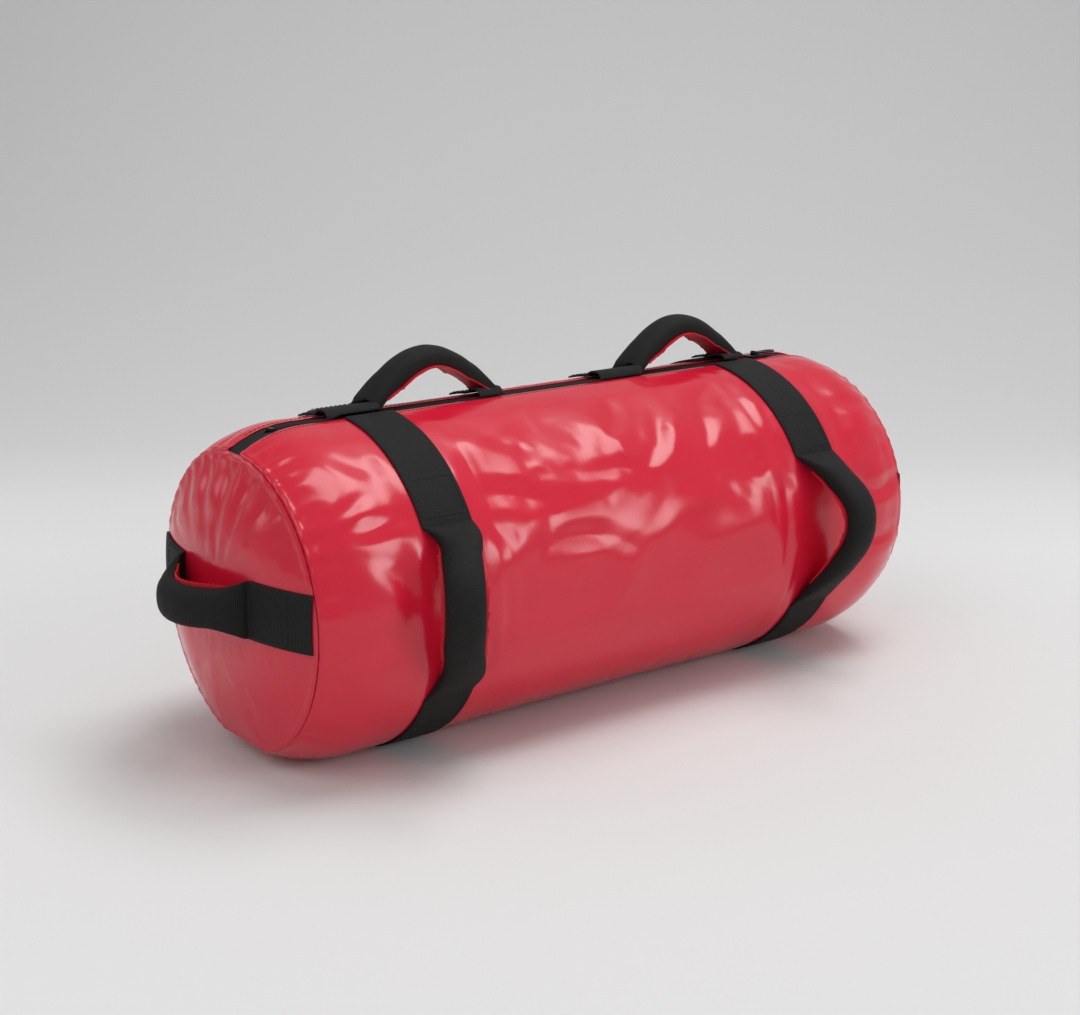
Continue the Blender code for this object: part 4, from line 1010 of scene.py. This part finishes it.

# %% [markdown]
# Each top handle is sewn down by two tabs that both point the same way, so the far one folds back under its
# own leg. A tab bridges the zip with its front part, where it is not sewn, and its front edge hangs down a
# little. The tab rides the bag and the leg is a piece of its own.

# %% Top tabs and the bends above them
ON_SHELL, ON_STRAP = RADIUS + 0.0006, STRAP_SEAT + WEB_THICK + 0.0006
OUTER_TAB, INNER_TAB = 0.0395, 0.018
BRIDGE_Y, BRIDGE_RISE = 0.0034, 0.0043
DROOP_Y, DROOP_REACH = -0.0028, 0.0042


def tab_seat(x, seat):
    """A tab sinks back onto the vinyl beyond the strap that it crosses."""
    return ON_SHELL + (seat - ON_SHELL) * near_strap(x, STRAP_SPARE)


def tab_row(x, seat):
    y = TAB_Y - ACROSS * WEB_WIDTH / 2
    seat = tab_seat(x, seat)
    rest = AXIS_HEIGHT + np.sqrt(seat**2 - np.maximum(y, TAB_Y) ** 2)
    lift = smooth_share(1 - (np.minimum(y, TAB_Y) - BRIDGE_Y) / (TAB_Y - BRIDGE_Y))
    z = rest + (BAG_TOP + BRIDGE_RISE - rest) * lift
    front_edge = AXIS_HEIGHT + np.sqrt(seat**2 - y**2)
    z = z + (front_edge - z) * np.clip((DROOP_Y - y) / DROOP_REACH, 0, 1) ** 1.3
    low = np.stack([x + 0 * y, y, z], -1)
    return low + np.stack([0 * y, 0 * y, edge_thickness(ACROSS)], -1), low


def bent_rows(before, leg, reach, count=14):
    """A smooth bend from the tab's last row to the leg's first row."""
    start = (before[0] + before[1]) / 2
    end, after = (leg[0][0] + leg[0][1]) / 2, (leg[1][0] + leg[1][1]) / 2
    heading = after - end
    pull = heading / np.linalg.norm(heading, axis=1, keepdims=True) * reach
    controls = [start, start + (reach, 0, 0), end - pull, end]
    half_start = np.linalg.norm(before[0] - before[1], axis=1) / 2
    half_end = np.linalg.norm(leg[0][0] - leg[0][1], axis=1) / 2
    rows = []
    for t in np.linspace(0, 1, count + 1)[1:-1]:
        s = 1 - t
        weights = [s**3, 3 * t * s**2, 3 * t * t * s, t**3]
        slopes = [-3 * s**2, 3 * s**2 - 6 * t * s, 6 * t * s - 3 * t * t, 3 * t * t]
        middle = sum(weight * control for weight, control in zip(weights, controls))
        run = sum(slope * control for slope, control in zip(slopes, controls))
        normal = np.stack([-run[:, 2], 0 * run[:, 1], run[:, 0]], -1)
        normal /= np.linalg.norm(normal, axis=1, keepdims=True)
        half = (half_start + (half_end - half_start) * t)[:, None]
        rows.append((middle + normal * half, middle - normal * half))
    return rows


print("a tab's seat:", round(ON_SHELL / MM, 1), "mm on the vinyl,", round(ON_STRAP / MM, 1), "on a strap")

# %% [markdown]
# Where the far leg folds over, its red lining comes to the outside. The lining is a thin strip
# over the webbing's inner face, a little wider than it, and its cut edge frays.

# %% Top legs and the lining of their fold
LINING_HALF, LINING_THICK, LINING_GAP, LINING_DROOP = 0.0147, VINYL * 0.9, 0.0003, 0.0005
FOLD_EXTRA, FOLD_FRAY, EVEN_FRAY, WORN_FRAY = 0.0006, 0.0010, 0.0008, 0.0016
TAB_SEATS = ((ON_STRAP, ON_SHELL), (ON_SHELL, ON_STRAP))


def frayed(count, seed, depth):
    """An uneven edge: slow wander with short sharp teeth, in metres."""
    dice = np.random.RandomState(seed)
    slow = np.interp(np.arange(count), np.linspace(0, count, 14), dice.uniform(-1, 1, 14))
    teeth = dice.uniform(0, 1, count) ** 4
    return depth * (0.45 * slow + 0.9 * teeth)


def fold_lining(loop, rows):
    edge = frayed(len(rows), 90, FOLD_FRAY)
    lined = []
    for k, (inner, outer) in enumerate(rows):
        out = (inner - outer) / np.linalg.norm(inner - outer, axis=1, keepdims=True)
        middle = inner[len(inner) // 2]
        half = np.linalg.norm(inner[-1] - inner[0]) / 2
        side = np.arange(len(inner))[:, None] < len(inner) // 2
        wider = 1 + (FOLD_EXTRA + np.where(side, edge[k], edge[-k - 1])) / half
        lower = middle + (inner - middle) * wider + out * LINING_GAP
        lined.append((lower + out * LINING_THICK, lower))
    return rows_piece(loop.name + "_fold_lining", lined, LINING, None, [loop.body + "_lining"])


def make_top_end(loop, end, length, seat, bend, foot):
    """A tab and the leg above it; end is -1 or 1, and the far leg is the one that folds over."""
    root = loop.middle.x + end * TOP_SPAN / 2
    word = "left" if end < 0 else "right"
    cad = f"{loop.body}_{word}_tab"
    tab = [tab_row(x, seat) for x in np.linspace(root - length, root, 10)]
    rows_piece(f"{loop.name}_{word}_tab", tab, WEBBING, "bag", [cad])
    leg = leg_rows(loop, end, 0.16, foot)
    if end > 0:
        leg = [(lower, upper) for upper, lower in leg]
    rows = [tab[-1]] + bent_rows(tab[-1], leg, bend) + leg
    pieces = [rows_piece(f"{loop.name}_{word}_leg", rows, WEBBING, None, [cad])]
    if end > 0:
        pieces.append(fold_lining(loop, rows[6:]))
    for piece in pieces:
        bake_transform(piece)
    return pieces


for loop, (left_seat, right_seat) in zip(TOP_LOOPS, TAB_SEATS):
    made = make_top_end(loop, -1, OUTER_TAB, left_seat, bend=0.002, foot=0.45)
    made += make_top_end(loop, 1, INNER_TAB, right_seat, bend=0.0035, foot=0.1)
    print([piece.name for piece in made])

# %% [markdown]
# Each end handle is one strap across its panel. The sewn part follows the bulge of the panel and the leg
# leaves it at the root.

# %% End straps
WAYS = (("front", -1), ("back", 1))
END_STRAP_SEAT, END_STRAP_STOP, END_BEND_Y = 0.00045, 0.0425, 0.026


def end_strap_row(side, y):
    edge = side * -ACROSS * WEB_WIDTH / 2
    rise = END_RISE + edge
    x = panel_reach(np.hypot(y, rise)) + END_STRAP_SEAT
    low = np.stack([side * x, y + 0 * x, AXIS_HEIGHT + rise], -1)
    return low + np.stack([side * edge_thickness(ACROSS), 0 * x, 0 * x], -1), low


def make_end_strap(loop):
    limit = math.sqrt(SEAM_RADIUS**2 - (END_RISE + WEB_WIDTH / 2) ** 2)
    for way, end in WAYS:
        rows = [end_strap_row(loop.out.x, end * y) for y in np.linspace(limit, END_STRAP_STOP, 24)]
        rows += leg_rows(loop, end, 0.04)
        piece = rows_piece(f"{loop.name}_{way}_strap", rows, WEBBING, None,
                           [f"end_strap_{loop.word}_{way}"])
        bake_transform(piece)


for loop in END_LOOPS:
    make_end_strap(loop)
    print("strap of", loop.name)

# %% [markdown]
# A strip of red vinyl lines the underside of every handle and stands out a little past both edges. It was cut
# by hand, so its edges wander and fray into short teeth. Under the grip it is one piece that rides the
# handle, and under each leg a piece of its own.

# %% Handle linings


def lining_rows(loop, places, shares, seed, depth=EVEN_FRAY):
    left, right = frayed(len(places), seed, depth), frayed(len(places), seed + 50, depth)
    rows = []
    for k, (u, share) in enumerate(zip(places, shares)):
        centre, _, across, normal = loop.frame(u)
        a = np.linspace(-LINING_HALF - left[k], LINING_HALF + right[k], 11)
        under = -GRIP_BASE * share - LINING_GAP - LINING_DROOP * np.abs(a / LINING_HALF) ** 6
        upper = centre + a[:, None] * across + under[:, None] * normal
        rows.append((upper, upper - normal * LINING_THICK))
    return rows


def make_linings(loop, seed):
    cad = [loop.body + "_lining"]
    places = np.linspace(*loop.grip, 150)
    worn = WORN_FRAY if loop.kind == "front" else EVEN_FRAY
    under_grip = lining_rows(loop, places, places * 0 + 1, seed, worn)
    grip = rows_piece(loop.name + "_lining", under_grip, LINING, loop.body, cad)
    for word, end in (("low", -1), ("high", 1)):
        if end > 0 and loop.kind == "top":
            continue
        shares = np.linspace(0.42, 1.0, 60)
        under_leg = lining_rows(loop, end + loop.reach(end) * shares, shares, seed + end)
        leg = rows_piece(f"{loop.name}_lining_{word}", under_leg, LINING, None, cad)
        along = np.array(loop.along)
        root, into = (np.array(loop.centre(u)).dot(along) for u in (end, end + loop.reach(end)))
        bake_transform(leg)


for seed, loop in enumerate(LOOPS):
    make_linings(loop, 60 + 3 * seed)
print("linings on", len(LOOPS), "handles")

# %% [markdown]
# The zip is a coil: two springs of nylon filament whose turns hook into one another between two
# woven tapes. A bump map would look flat from the side, so the turns are real geometry, with four
# fine sides round each filament. The rows spread where the slider holds them apart.

# %% Zip tapes and coils
COIL_PITCH, COIL_WIDE, COIL_HIGH, WIRE = 0.00135, 0.00112, 0.00082, 0.00036
COIL_START, COIL_STOP, COIL_LAST = -0.2325, 0.2057, 0.2053
COIL_OUT, COIL_SUNK, COIL_CORNERS = 0.00163, 0.0015, 8
SPREAD, SPREAD_X, SPREAD_REACH = 0.00075, 0.1965, 0.003
TAPE_END, TAPE_FAR, TAPE_NEAR, TAPE_SUNK, TAPE_THICK = 0.2622, 0.016, 0.0036, 0.0012, 0.0006
TAPE_MEET, MEET_LEFT, MEET_RIGHT, MEET_REACH = 0.00015, -0.2361, 0.2099, 0.0031


def zip_spread(x):
    return SPREAD * smooth_share((x - SPREAD_X) / SPREAD_REACH)


def make_tape(word, side):
    """A tape beside the coil; beyond both ends of the coil the two tapes meet."""
    x = np.linspace(-TAPE_END, TAPE_END, 220)
    beyond = np.clip(np.maximum(MEET_LEFT - x, x - MEET_RIGHT) / MEET_REACH, 0, 1)
    near = TAPE_NEAR + zip_spread(x)
    near = near + (TAPE_MEET - near) * beyond
    rows = []
    for place, edge in zip(x, near):
        y = np.linspace(edge, TAPE_FAR, 7)
        radius = barrel_radius(place) - TAPE_SUNK
        turn = -side * np.arcsin(y / radius)
        rows.append([round_place(place + 0 * y, turn, radius - depth) for depth in (0, TAPE_THICK)])
    return rows_piece(f"zip_tape_{word}_cloth", rows, TAPE, "bag", [f"zip_tape_{word}"])


def make_coil(word, side):
    steps = np.arange(int((COIL_STOP - COIL_START) / COIL_PITCH) * COIL_CORNERS + 1)
    angle = steps * TURN / COIL_CORNERS
    x = COIL_START + 0.0003 + steps * COIL_PITCH / COIL_CORNERS + (0.5 * COIL_PITCH if side > 0 else 0)
    x = np.minimum(x, COIL_LAST)
    y = side * (COIL_OUT + zip_spread(x) - COIL_WIDE * np.cos(angle))
    z = AXIS_HEIGHT + barrel_radius(x) - COIL_SUNK + COIL_HIGH * np.sin(angle)
    path = np.stack([x, y, z], -1)
    forward = np.gradient(path, axis=0)
    forward /= np.linalg.norm(forward, axis=1, keepdims=True)
    beside = np.cross(forward, (1, 0, 0))
    beside /= np.linalg.norm(beside, axis=1, keepdims=True)
    above = np.cross(beside, forward)
    rings = [path + WIRE * (beside * c + above * s) for c, s in ((1, 0), (0, 1), (-1, 0), (0, -1))]
    return put(f"zip_coil_{word}", np.stack(rings, 1), tube_faces(len(path), 4), COIL, "bag",
               [f"zip_chain_{word}"])


for word, side in WAYS:
    print(make_tape(word, side).name, len(make_coil(word, side).data.vertices))

# %% [markdown]
# The slider, its pull and the stops are small cast and stamped parts. The frame's own solids
# already have their shape, so they stay, with their corners worn by a small bevel and black enamel.

# %% Zip hardware
HARDWARE = ("zip_slider", "zip_pull", "zip_bottom_stop", "zip_top_stop_front", "zip_top_stop_back")


def enamelled(name):
    solid = nodes[name]
    solid.data.materials.clear()
    solid.data.materials.append(ENAMEL)
    corner = solid.modifiers.new("worn corners", "BEVEL")
    corner.width, corner.segments, corner.limit_method = 0.00018, 2, "ANGLE"


for name in HARDWARE:
    enamelled(name)
print("enamelled:", len(HARDWARE), "solids")

# %% [markdown]
# Thread is what makes webbing look sewn. A painted line stays flat when light grazes it, so each
# row is made of separate stitches that dip into the cloth at both ends.

# %% A row of stitches
STITCH_SHARES = [  # share of its length, height and girth in shares of the thread's radius
    (-0.5, -0.5, 0.55), (-0.38, 0.55, 0.9), (0.0, 0.9, 1.0), (0.38, 0.55, 0.9), (0.5, -0.5, 0.55),
]
THREAD_SIDES = 6
BOX_STITCH, ZIP_STITCH = (0.0036, 0.0027, 0.00028), (0.0034, 0.0027, 0.00026)


def stitches(name, path, out, material, stitch):
    """A row along a path; a stitch has a pitch, a length and a thread radius."""
    pitch, length, radius = stitch
    path, out = np.asarray(path, float), np.asarray(out, float)
    reach = lengths_along(path)
    points, faces = [], []
    for start in np.arange(pitch / 2, reach[-1] - pitch / 3, pitch):
        spots = [start + length * share for share, _, _ in STITCH_SHARES]
        middle, lift = (np.stack([np.interp(spots, reach, values[:, k]) for k in range(3)], -1)
                        for values in (path, out))
        forward = middle[-1] - middle[0]
        side = np.cross(forward / (np.linalg.norm(forward) + 1e-9), lift[2])
        faces += tube_faces(len(STITCH_SHARES), THREAD_SIDES, len(points))
        for (_, height, girth), m, o in zip(STITCH_SHARES, middle, lift):
            for angle in np.arange(THREAD_SIDES) * TURN / THREAD_SIDES:
                c, s = math.cos(angle), math.sin(angle)
                points.append(m + o * (radius * (height + girth * s)) + side * (radius * girth * c))
    return put(name, points, faces, material, "bag")


def box_of_rows(name, low, high, place):
    """A sewn box between two corners of a surface, given by place(a, b) as a point and its outside."""
    (a, b), (c, d) = low, high
    corners = [(a, b), (c, b), (c, d), (a, d), (a, b)]
    shares = np.linspace(0, 1, 24)[:, None]
    for k in range(4):
        spots = np.array(corners[k]) * (1 - shares) + np.array(corners[k + 1]) * shares
        path, out = zip(*(place(*spot) for spot in spots))
        stitches(f"{name}_{k}", path, out, BLACK_THREAD, BOX_STITCH)


print("points in a stitch:", len(STITCH_SHARES) * THREAD_SIDES)

# %% [markdown]
# Black rows box in the roots of every handle. Each box is drawn on the surface that it is sewn
# to: a girth strap, the strap across an end, or a tab.

# %% Boxes at the roots
BOX_EDGE, BOX_TURN, BOX_SPARE = 0.0165, 0.24, math.radians(3)
END_BOX, TAB_BOX_Y = ((0.045, -0.0085), (0.078, 0.0245)), (0.0135, 0.029)


def on_strap(x, turn):
    away = np.array([0.0, -math.sin(turn), math.cos(turn)])
    return AXIS + (x, 0, 0) + away * (STRAP_SEAT + WEB_THICK), away


def on_end_strap(side):
    def place(y, rise):
        x = side * (panel_reach(math.hypot(y, rise)) + END_STRAP_SEAT + WEB_THICK)
        return np.array([x, y, AXIS_HEIGHT + rise]), np.array([side, 0.0, 0.0])
    return place


def on_tab(seat):
    def place(x, y):
        there = float(tab_seat(x, seat))
        away = np.array([0.0, y, math.sqrt(there**2 - y * y)]) / there
        return AXIS + (x, 0, 0) + away * (there + WEB_THICK), away
    return place


for word, side in ENDS:
    left, right = side * STRAP_X - BOX_EDGE, side * STRAP_X + BOX_EDGE
    high, low = HIGH_ROOT - BOX_SPARE, LOW_ROOT + BOX_SPARE
    box_of_rows(f"front_{word}_high_box", (left, high - BOX_TURN), (right, high), on_strap)
    box_of_rows(f"front_{word}_low_box", (left, low), (right, low + BOX_TURN), on_strap)
for word, side in ENDS:
    for way, end in WAYS:
        near, far = ((end * y, rise) for y, rise in END_BOX)
        box_of_rows(f"end_{word}_{way}_box", near, far, on_end_strap(side))
for loop, seats in zip(TOP_LOOPS, TAB_SEATS):
    for end, seat, length in zip((-1, 1), seats, (OUTER_TAB, INNER_TAB)):
        root = loop.middle.x + end * TOP_SPAN / 2
        near, far = zip((root - length + 0.002, root - 0.002), TAB_BOX_Y)
        box_of_rows(f"{loop.name}_box_{end + 1}", near, far, on_tab(seat))
print("boxes of black thread on", len(LOOPS), "handles")

# %% [markdown]
# Red rows run beside the zip, where the vinyl's folded edge is sewn down on its tapes. They follow
# the barrel's profile over both shoulders.

# %% Rows beside the zip
ZIP_ROW_END, ZIP_ROW_OUT = 0.248, 0.0028


def zip_row(word, side):
    path, out = [], []
    for place in np.linspace(-ZIP_ROW_END, ZIP_ROW_END, 200):
        radius = barrel_radius(place)
        turn = -side * math.asin((ZIP_HALF + ZIP_ROW_OUT) / radius)
        path.append(round_place(place, np.array(turn), radius).ravel())
        out.append((0.0, -math.sin(turn), math.cos(turn)))
    return stitches(f"zip_seam_{word}", path, out, RED_THREAD, ZIP_STITCH)


for word, side in WAYS:
    print(zip_row(word, side).name)

# %% [markdown]
# Inside the zip lie three cloth pouches of sand, each gathered at its neck by a band. They are
# full shapes too: the cloth creases towards the neck, and the sand heaps up a little unevenly.

# %% Pouches and their sand
POUCH_SLACK, POUCH_ROUND, POUCH_CLOTH_THICK, POUCH_HEADROOM = 0.0085, 0.015, 0.0008, 0.0075
SAND_INSIDE, NECK_RADIUS, POUCH_FLOOR, POUCH_STEPS = 0.0016, 0.016, 0.003, 72
POUCHES = {"left": (-0.2505, -0.0995), "middle": (-0.0835, 0.0675), "right": (0.0835, 0.2345)}


def inner_ring(x, radius, inset=0.0, crease=0.0, seed=0):
    """A ring inside the barrel, gathered by creases and flattened on the floor and under the zip."""
    turn = np.linspace(0, TURN, POUCH_STEPS, endpoint=False)
    radius = radius - crease * (0.5 + 0.5 * np.sin(turn * 18 + 2 * np.sin(turn * 3 + seed)))
    points = round_place(x, turn, radius)
    points[:, 2] = AXIS_HEIGHT + radius * np.cos(turn)
    ceiling = AXIS_HEIGHT + barrel_radius(x) - POUCH_HEADROOM - inset
    points[:, 2] = np.clip(points[:, 2], POUCH_FLOOR + inset, ceiling)
    return points


def pouch_profile(low, high, inset):
    """Places and radii of a pouch's rounded body."""
    low, high = low + inset, high - inset
    angle = np.linspace(0, math.pi / 2, 7)
    drops = [(POUCH_ROUND * (1 - math.cos(a)), POUCH_ROUND * (1 - math.sin(a))) for a in angle]
    corner = [(low + along, low, drop) for along, drop in drops]
    corner += [(x, x, 0) for x in np.linspace(low + 0.017, high - 0.017, 20)]
    corner += [(high - along, high, drop) for along, drop in reversed(drops)]
    return [(x, barrel_radius(at) - VINYL - POUCH_SLACK - inset - drop) for x, at, drop in corner]


def make_pouch(word, low, high, seed):
    rings = [inner_ring(low, r) for r in (0.004, 0.03, 0.06, 0.08)]
    rings += [inner_ring(x, r, 0.0, 0.0008, seed) for x, r in pouch_profile(low, high, 0.0)]
    rings += [inner_ring(high, r, 0.0, 0.002 * (r < 0.07), seed) for r in (0.07, 0.05, 0.034, 0.022)]
    necks = high + np.array([0.001, 0.003, 0.007, 0.011, 0.013])
    rings += [inner_ring(x, NECK_RADIUS, 0.0, 0.0012, seed) for x in necks]
    cloth = put(f"pouch_{word}_cloth", rings, tube_faces(len(rings), POUCH_STEPS)[:-1], POUCH_CLOTH, "bag",
                [f"filler_pouch_{word}"])
    thicken(cloth, POUCH_CLOTH_THICK)
    return cloth


def make_sand(word, low, high, seed):
    heap = [inner_ring(x, r + 0.0003 * math.sin(x * 400), 0.0013, 0.0005, seed + 4)
            for x, r in pouch_profile(low, high, SAND_INSIDE)]
    return put(f"sand_{word}_heap", heap, tube_faces(len(heap), POUCH_STEPS), SAND, "bag",
               [f"sand_fill_{word}"])


for seed, (word, (low, high)) in enumerate(POUCHES.items()):
    print(make_pouch(word, low, high, seed).name, make_sand(word, low, high, seed).name)

# %% [markdown]
# The cinch band is a short length of webbing with rounded selvedges, sewn into a ring round each
# neck. Its section is carried round a circle, which is simpler than bending a straight band.

# %% Cinch bands
CINCH_WIDTH, CINCH_THICK, CINCH_RADIUS, CINCH_OUT = 0.0088, 0.0018, 0.0164, 0.0065


def band_outline():
    """Shares of the width and of the thickness round a band; the selvedges are rounded."""
    across = np.linspace(-1, 1, 9)
    top = [(a * 0.985, 1.0 + 0.06 * abs(a) ** 8) for a in across]
    low = [(a * 0.985, 0.0) for a in across[::-1]]
    return np.array(top + [(1.0, 0.72), (1.0, 0.28)] + low + [(-1.0, 0.28), (-1.0, 0.72)])


def make_cinch(word, neck):
    turn = np.linspace(0, TURN, 49)
    out = np.stack([0 * turn, np.sin(turn), np.cos(turn)], -1)
    middles = AXIS + (neck + CINCH_OUT, 0, 0) + CINCH_RADIUS * out
    outline = band_outline() * (CINCH_WIDTH / 2, CINCH_THICK)
    points = middles[:, None] + outline[:, :1] * (1, 0, 0) + outline[:, 1:] * out[:, None]
    along = np.broadcast_to(lengths_along(middles)[:, None, None], (*points.shape[:2], 1))
    run = np.concatenate([along, np.broadcast_to(outline, (*points.shape[:2], 2))], -1)
    return put(f"cinch_{word}_band", points, tube_faces(*points.shape[:2]), WEBBING, "bag",
               [f"pouch_cinch_{word}"], run)


for word, (low, high) in POUCHES.items():
    print(make_cinch(word, high).name)

# %% [markdown]
# A folded tape binds the free edge of the seam allowance all the way round, inside the bag. Its
# section is a narrow U, turned about the bag's axis, and it is flattened at the floor as the
# barrel is.

# %% Seam bindings
BINDING_STEPS = 120
BINDING_EDGE = SEAM_RADIUS - 0.012
BINDING_SECTION_MM = [  # along the bag, and out from the edge that it binds
    (-1.6, 4.0), (-1.6, -0.4), (-0.9, -0.8), (0.9, -0.8), (1.6, -0.4),
    (1.6, 4.0), (1.2, 4.0), (1.2, -0.3), (-1.2, -0.3), (-1.2, 4.0),
]


def make_binding(word, side):
    turn = np.linspace(0, TURN, BINDING_STEPS, endpoint=False)
    rings = np.array([round_place(side * (SEAM_X + x * MM), turn, BINDING_EDGE + out * MM)
                      for x, out in BINDING_SECTION_MM])
    last = (len(rings) - 1) * BINDING_STEPS
    faces = grid_faces(len(rings), BINDING_STEPS, True)
    for j in range(BINDING_STEPS):
        k = (j + 1) % BINDING_STEPS
        faces.append((last + j, last + k, k, j))
    along = turn * BINDING_EDGE + 0 * rings[..., 0]
    run = np.stack([along, rings[..., 0], 0 * along], -1)
    return put(f"binding_{word}_tape", rings, faces, TAPE, "bag", [f"seam_binding_{word}"],
               run)


for word, side in ENDS:
    print(make_binding(word, side).name)

# %% [markdown]
# The studio is a pale sweep: a floor that curves up into the wall far behind the bag. Its paper carries
# painted shade: it darkens from light to mid grey behind the bag, as in the photograph, and a little towards
# both sides. The shade is painted on the paper because lights alone would grey the bag as well.

# %% Studio sweep
WALL_START, WALL_BEND, WALL_TOP = 0.65, 1.2, 5.0
PAINTED_SHADE_STOPS = ((0.17, 0.0), (0.27, 0.16), (0.375, 0.41), (0.46, 0.51), (0.62, 0.61), (0.8, 0.64))
BEHIND = Vector((-CAMERA_BACK.x, -CAMERA_BACK.y, 0.0)).normalized()
BESIDE = Vector((BEHIND.y, -BEHIND.x, 0.0))


def studio_paper():
    finish = Finish("studio paper")
    place = finish.place()
    x, y, _ = finish.split(place)
    away = (x * BEHIND.x + y * BEHIND.y) / 2.066
    aside = (x * BESIDE.x + y * BESIDE.y) / 0.785
    # painted shade: the paper gets darker further behind the bag and towards both sides
    painted_shade = finish.ramp(away, *PAINTED_SHADE_STOPS) * (1.0 + 0.25 * (aside * aside))
    painted_shade = painted_shade + 0.02 * finish.noise(place, 3.0, 3.0)
    finish.paint(finish.mix(painted_shade, grey(0.74), grey(0.42)), 0.9)
    finish.bump((finish.noise(place, 240.0, 3.0), 0.0001))
    return finish.material


def studio_sweep():
    bend = np.linspace(0.1, math.pi / 2, 16)
    rows = [(-6.0, 0.0), (-3.0, 0.0), (0.0, 0.0), (WALL_START, 0.0)]
    rows += [(WALL_START + WALL_BEND * math.sin(a), WALL_BEND * (1 - math.cos(a))) for a in bend]
    rows += [(WALL_START + WALL_BEND, WALL_TOP)]
    points = [BEHIND * d + BESIDE * w + Vector((0, 0, h)) for d, h in rows for w in (-6, -2, 2, 6)]
    sweep = put("studio_sweep", points, grid_faces(len(rows), 4), studio_paper())
    sweep.visible_shadow = False
    return sweep


print("sweep:", len(studio_sweep().data.vertices), "points")

# %% [markdown]
# Glossy vinyl shows every lamp, so the lights are large soft panels where the photograph's
# highlights point to them. One at the front right gives the barrel's front its broad sheen, one
# high to the right draws the long streak along its upper side, and one hangs overhead. Two weak
# ones fill the floor to the left and, from behind, the near end. A plain world fills the rest.

# %% Lights
BAG_MIDDLE, WORLD_STRENGTH = (0, 0, 0.11), 0.40
LIGHTS = {  # place, what it points at, width, height, power in watts
    "key_panel": ((3.29, -5.67, 2.58), BAG_MIDDLE, 2.2, 2.7, 96),
    "back_panel": ((3.29, 0.0, 6.29), BAG_MIDDLE, 4.4, 2.1, 152),
    "top_panel": ((0.55, -0.75, 6.0), BAG_MIDDLE, 2.4, 2.4, 84),
    "left_fill": ((-2.6, -0.9, 2.6), (-0.9, -0.1, 0), 2.0, 2.0, 18),
    "end_panel_light": ((-2.30, 2.5, 1.30), (-0.2, 0, 0.11), 2.0, 1.0, 8),
}


def softbox(name, place, target, width, height, power):
    lamp = bpy.data.lights.new(name, "AREA")
    lamp.shape, lamp.size, lamp.size_y, lamp.energy = "RECTANGLE", width, height, power
    holder = bpy.data.objects.new(name, lamp)
    holder.location = place
    holder.rotation_euler = (Vector(target) - Vector(place)).to_track_quat("-Z", "Y").to_euler()
    bpy.context.scene.collection.objects.link(holder)
    return holder


def fill_world():
    world = bpy.data.worlds.new("studio")
    world.use_nodes = True
    background = world.node_tree.nodes["Background"]
    background.inputs[0].default_value, background.inputs[1].default_value = grey(1.0), WORLD_STRENGTH
    bpy.context.scene.world = world
    bpy.context.scene.view_settings.view_transform = "Standard"


fill_world()
print("lights:", [softbox(name, *setting).name for name, setting in LIGHTS.items()])

# %% [markdown]
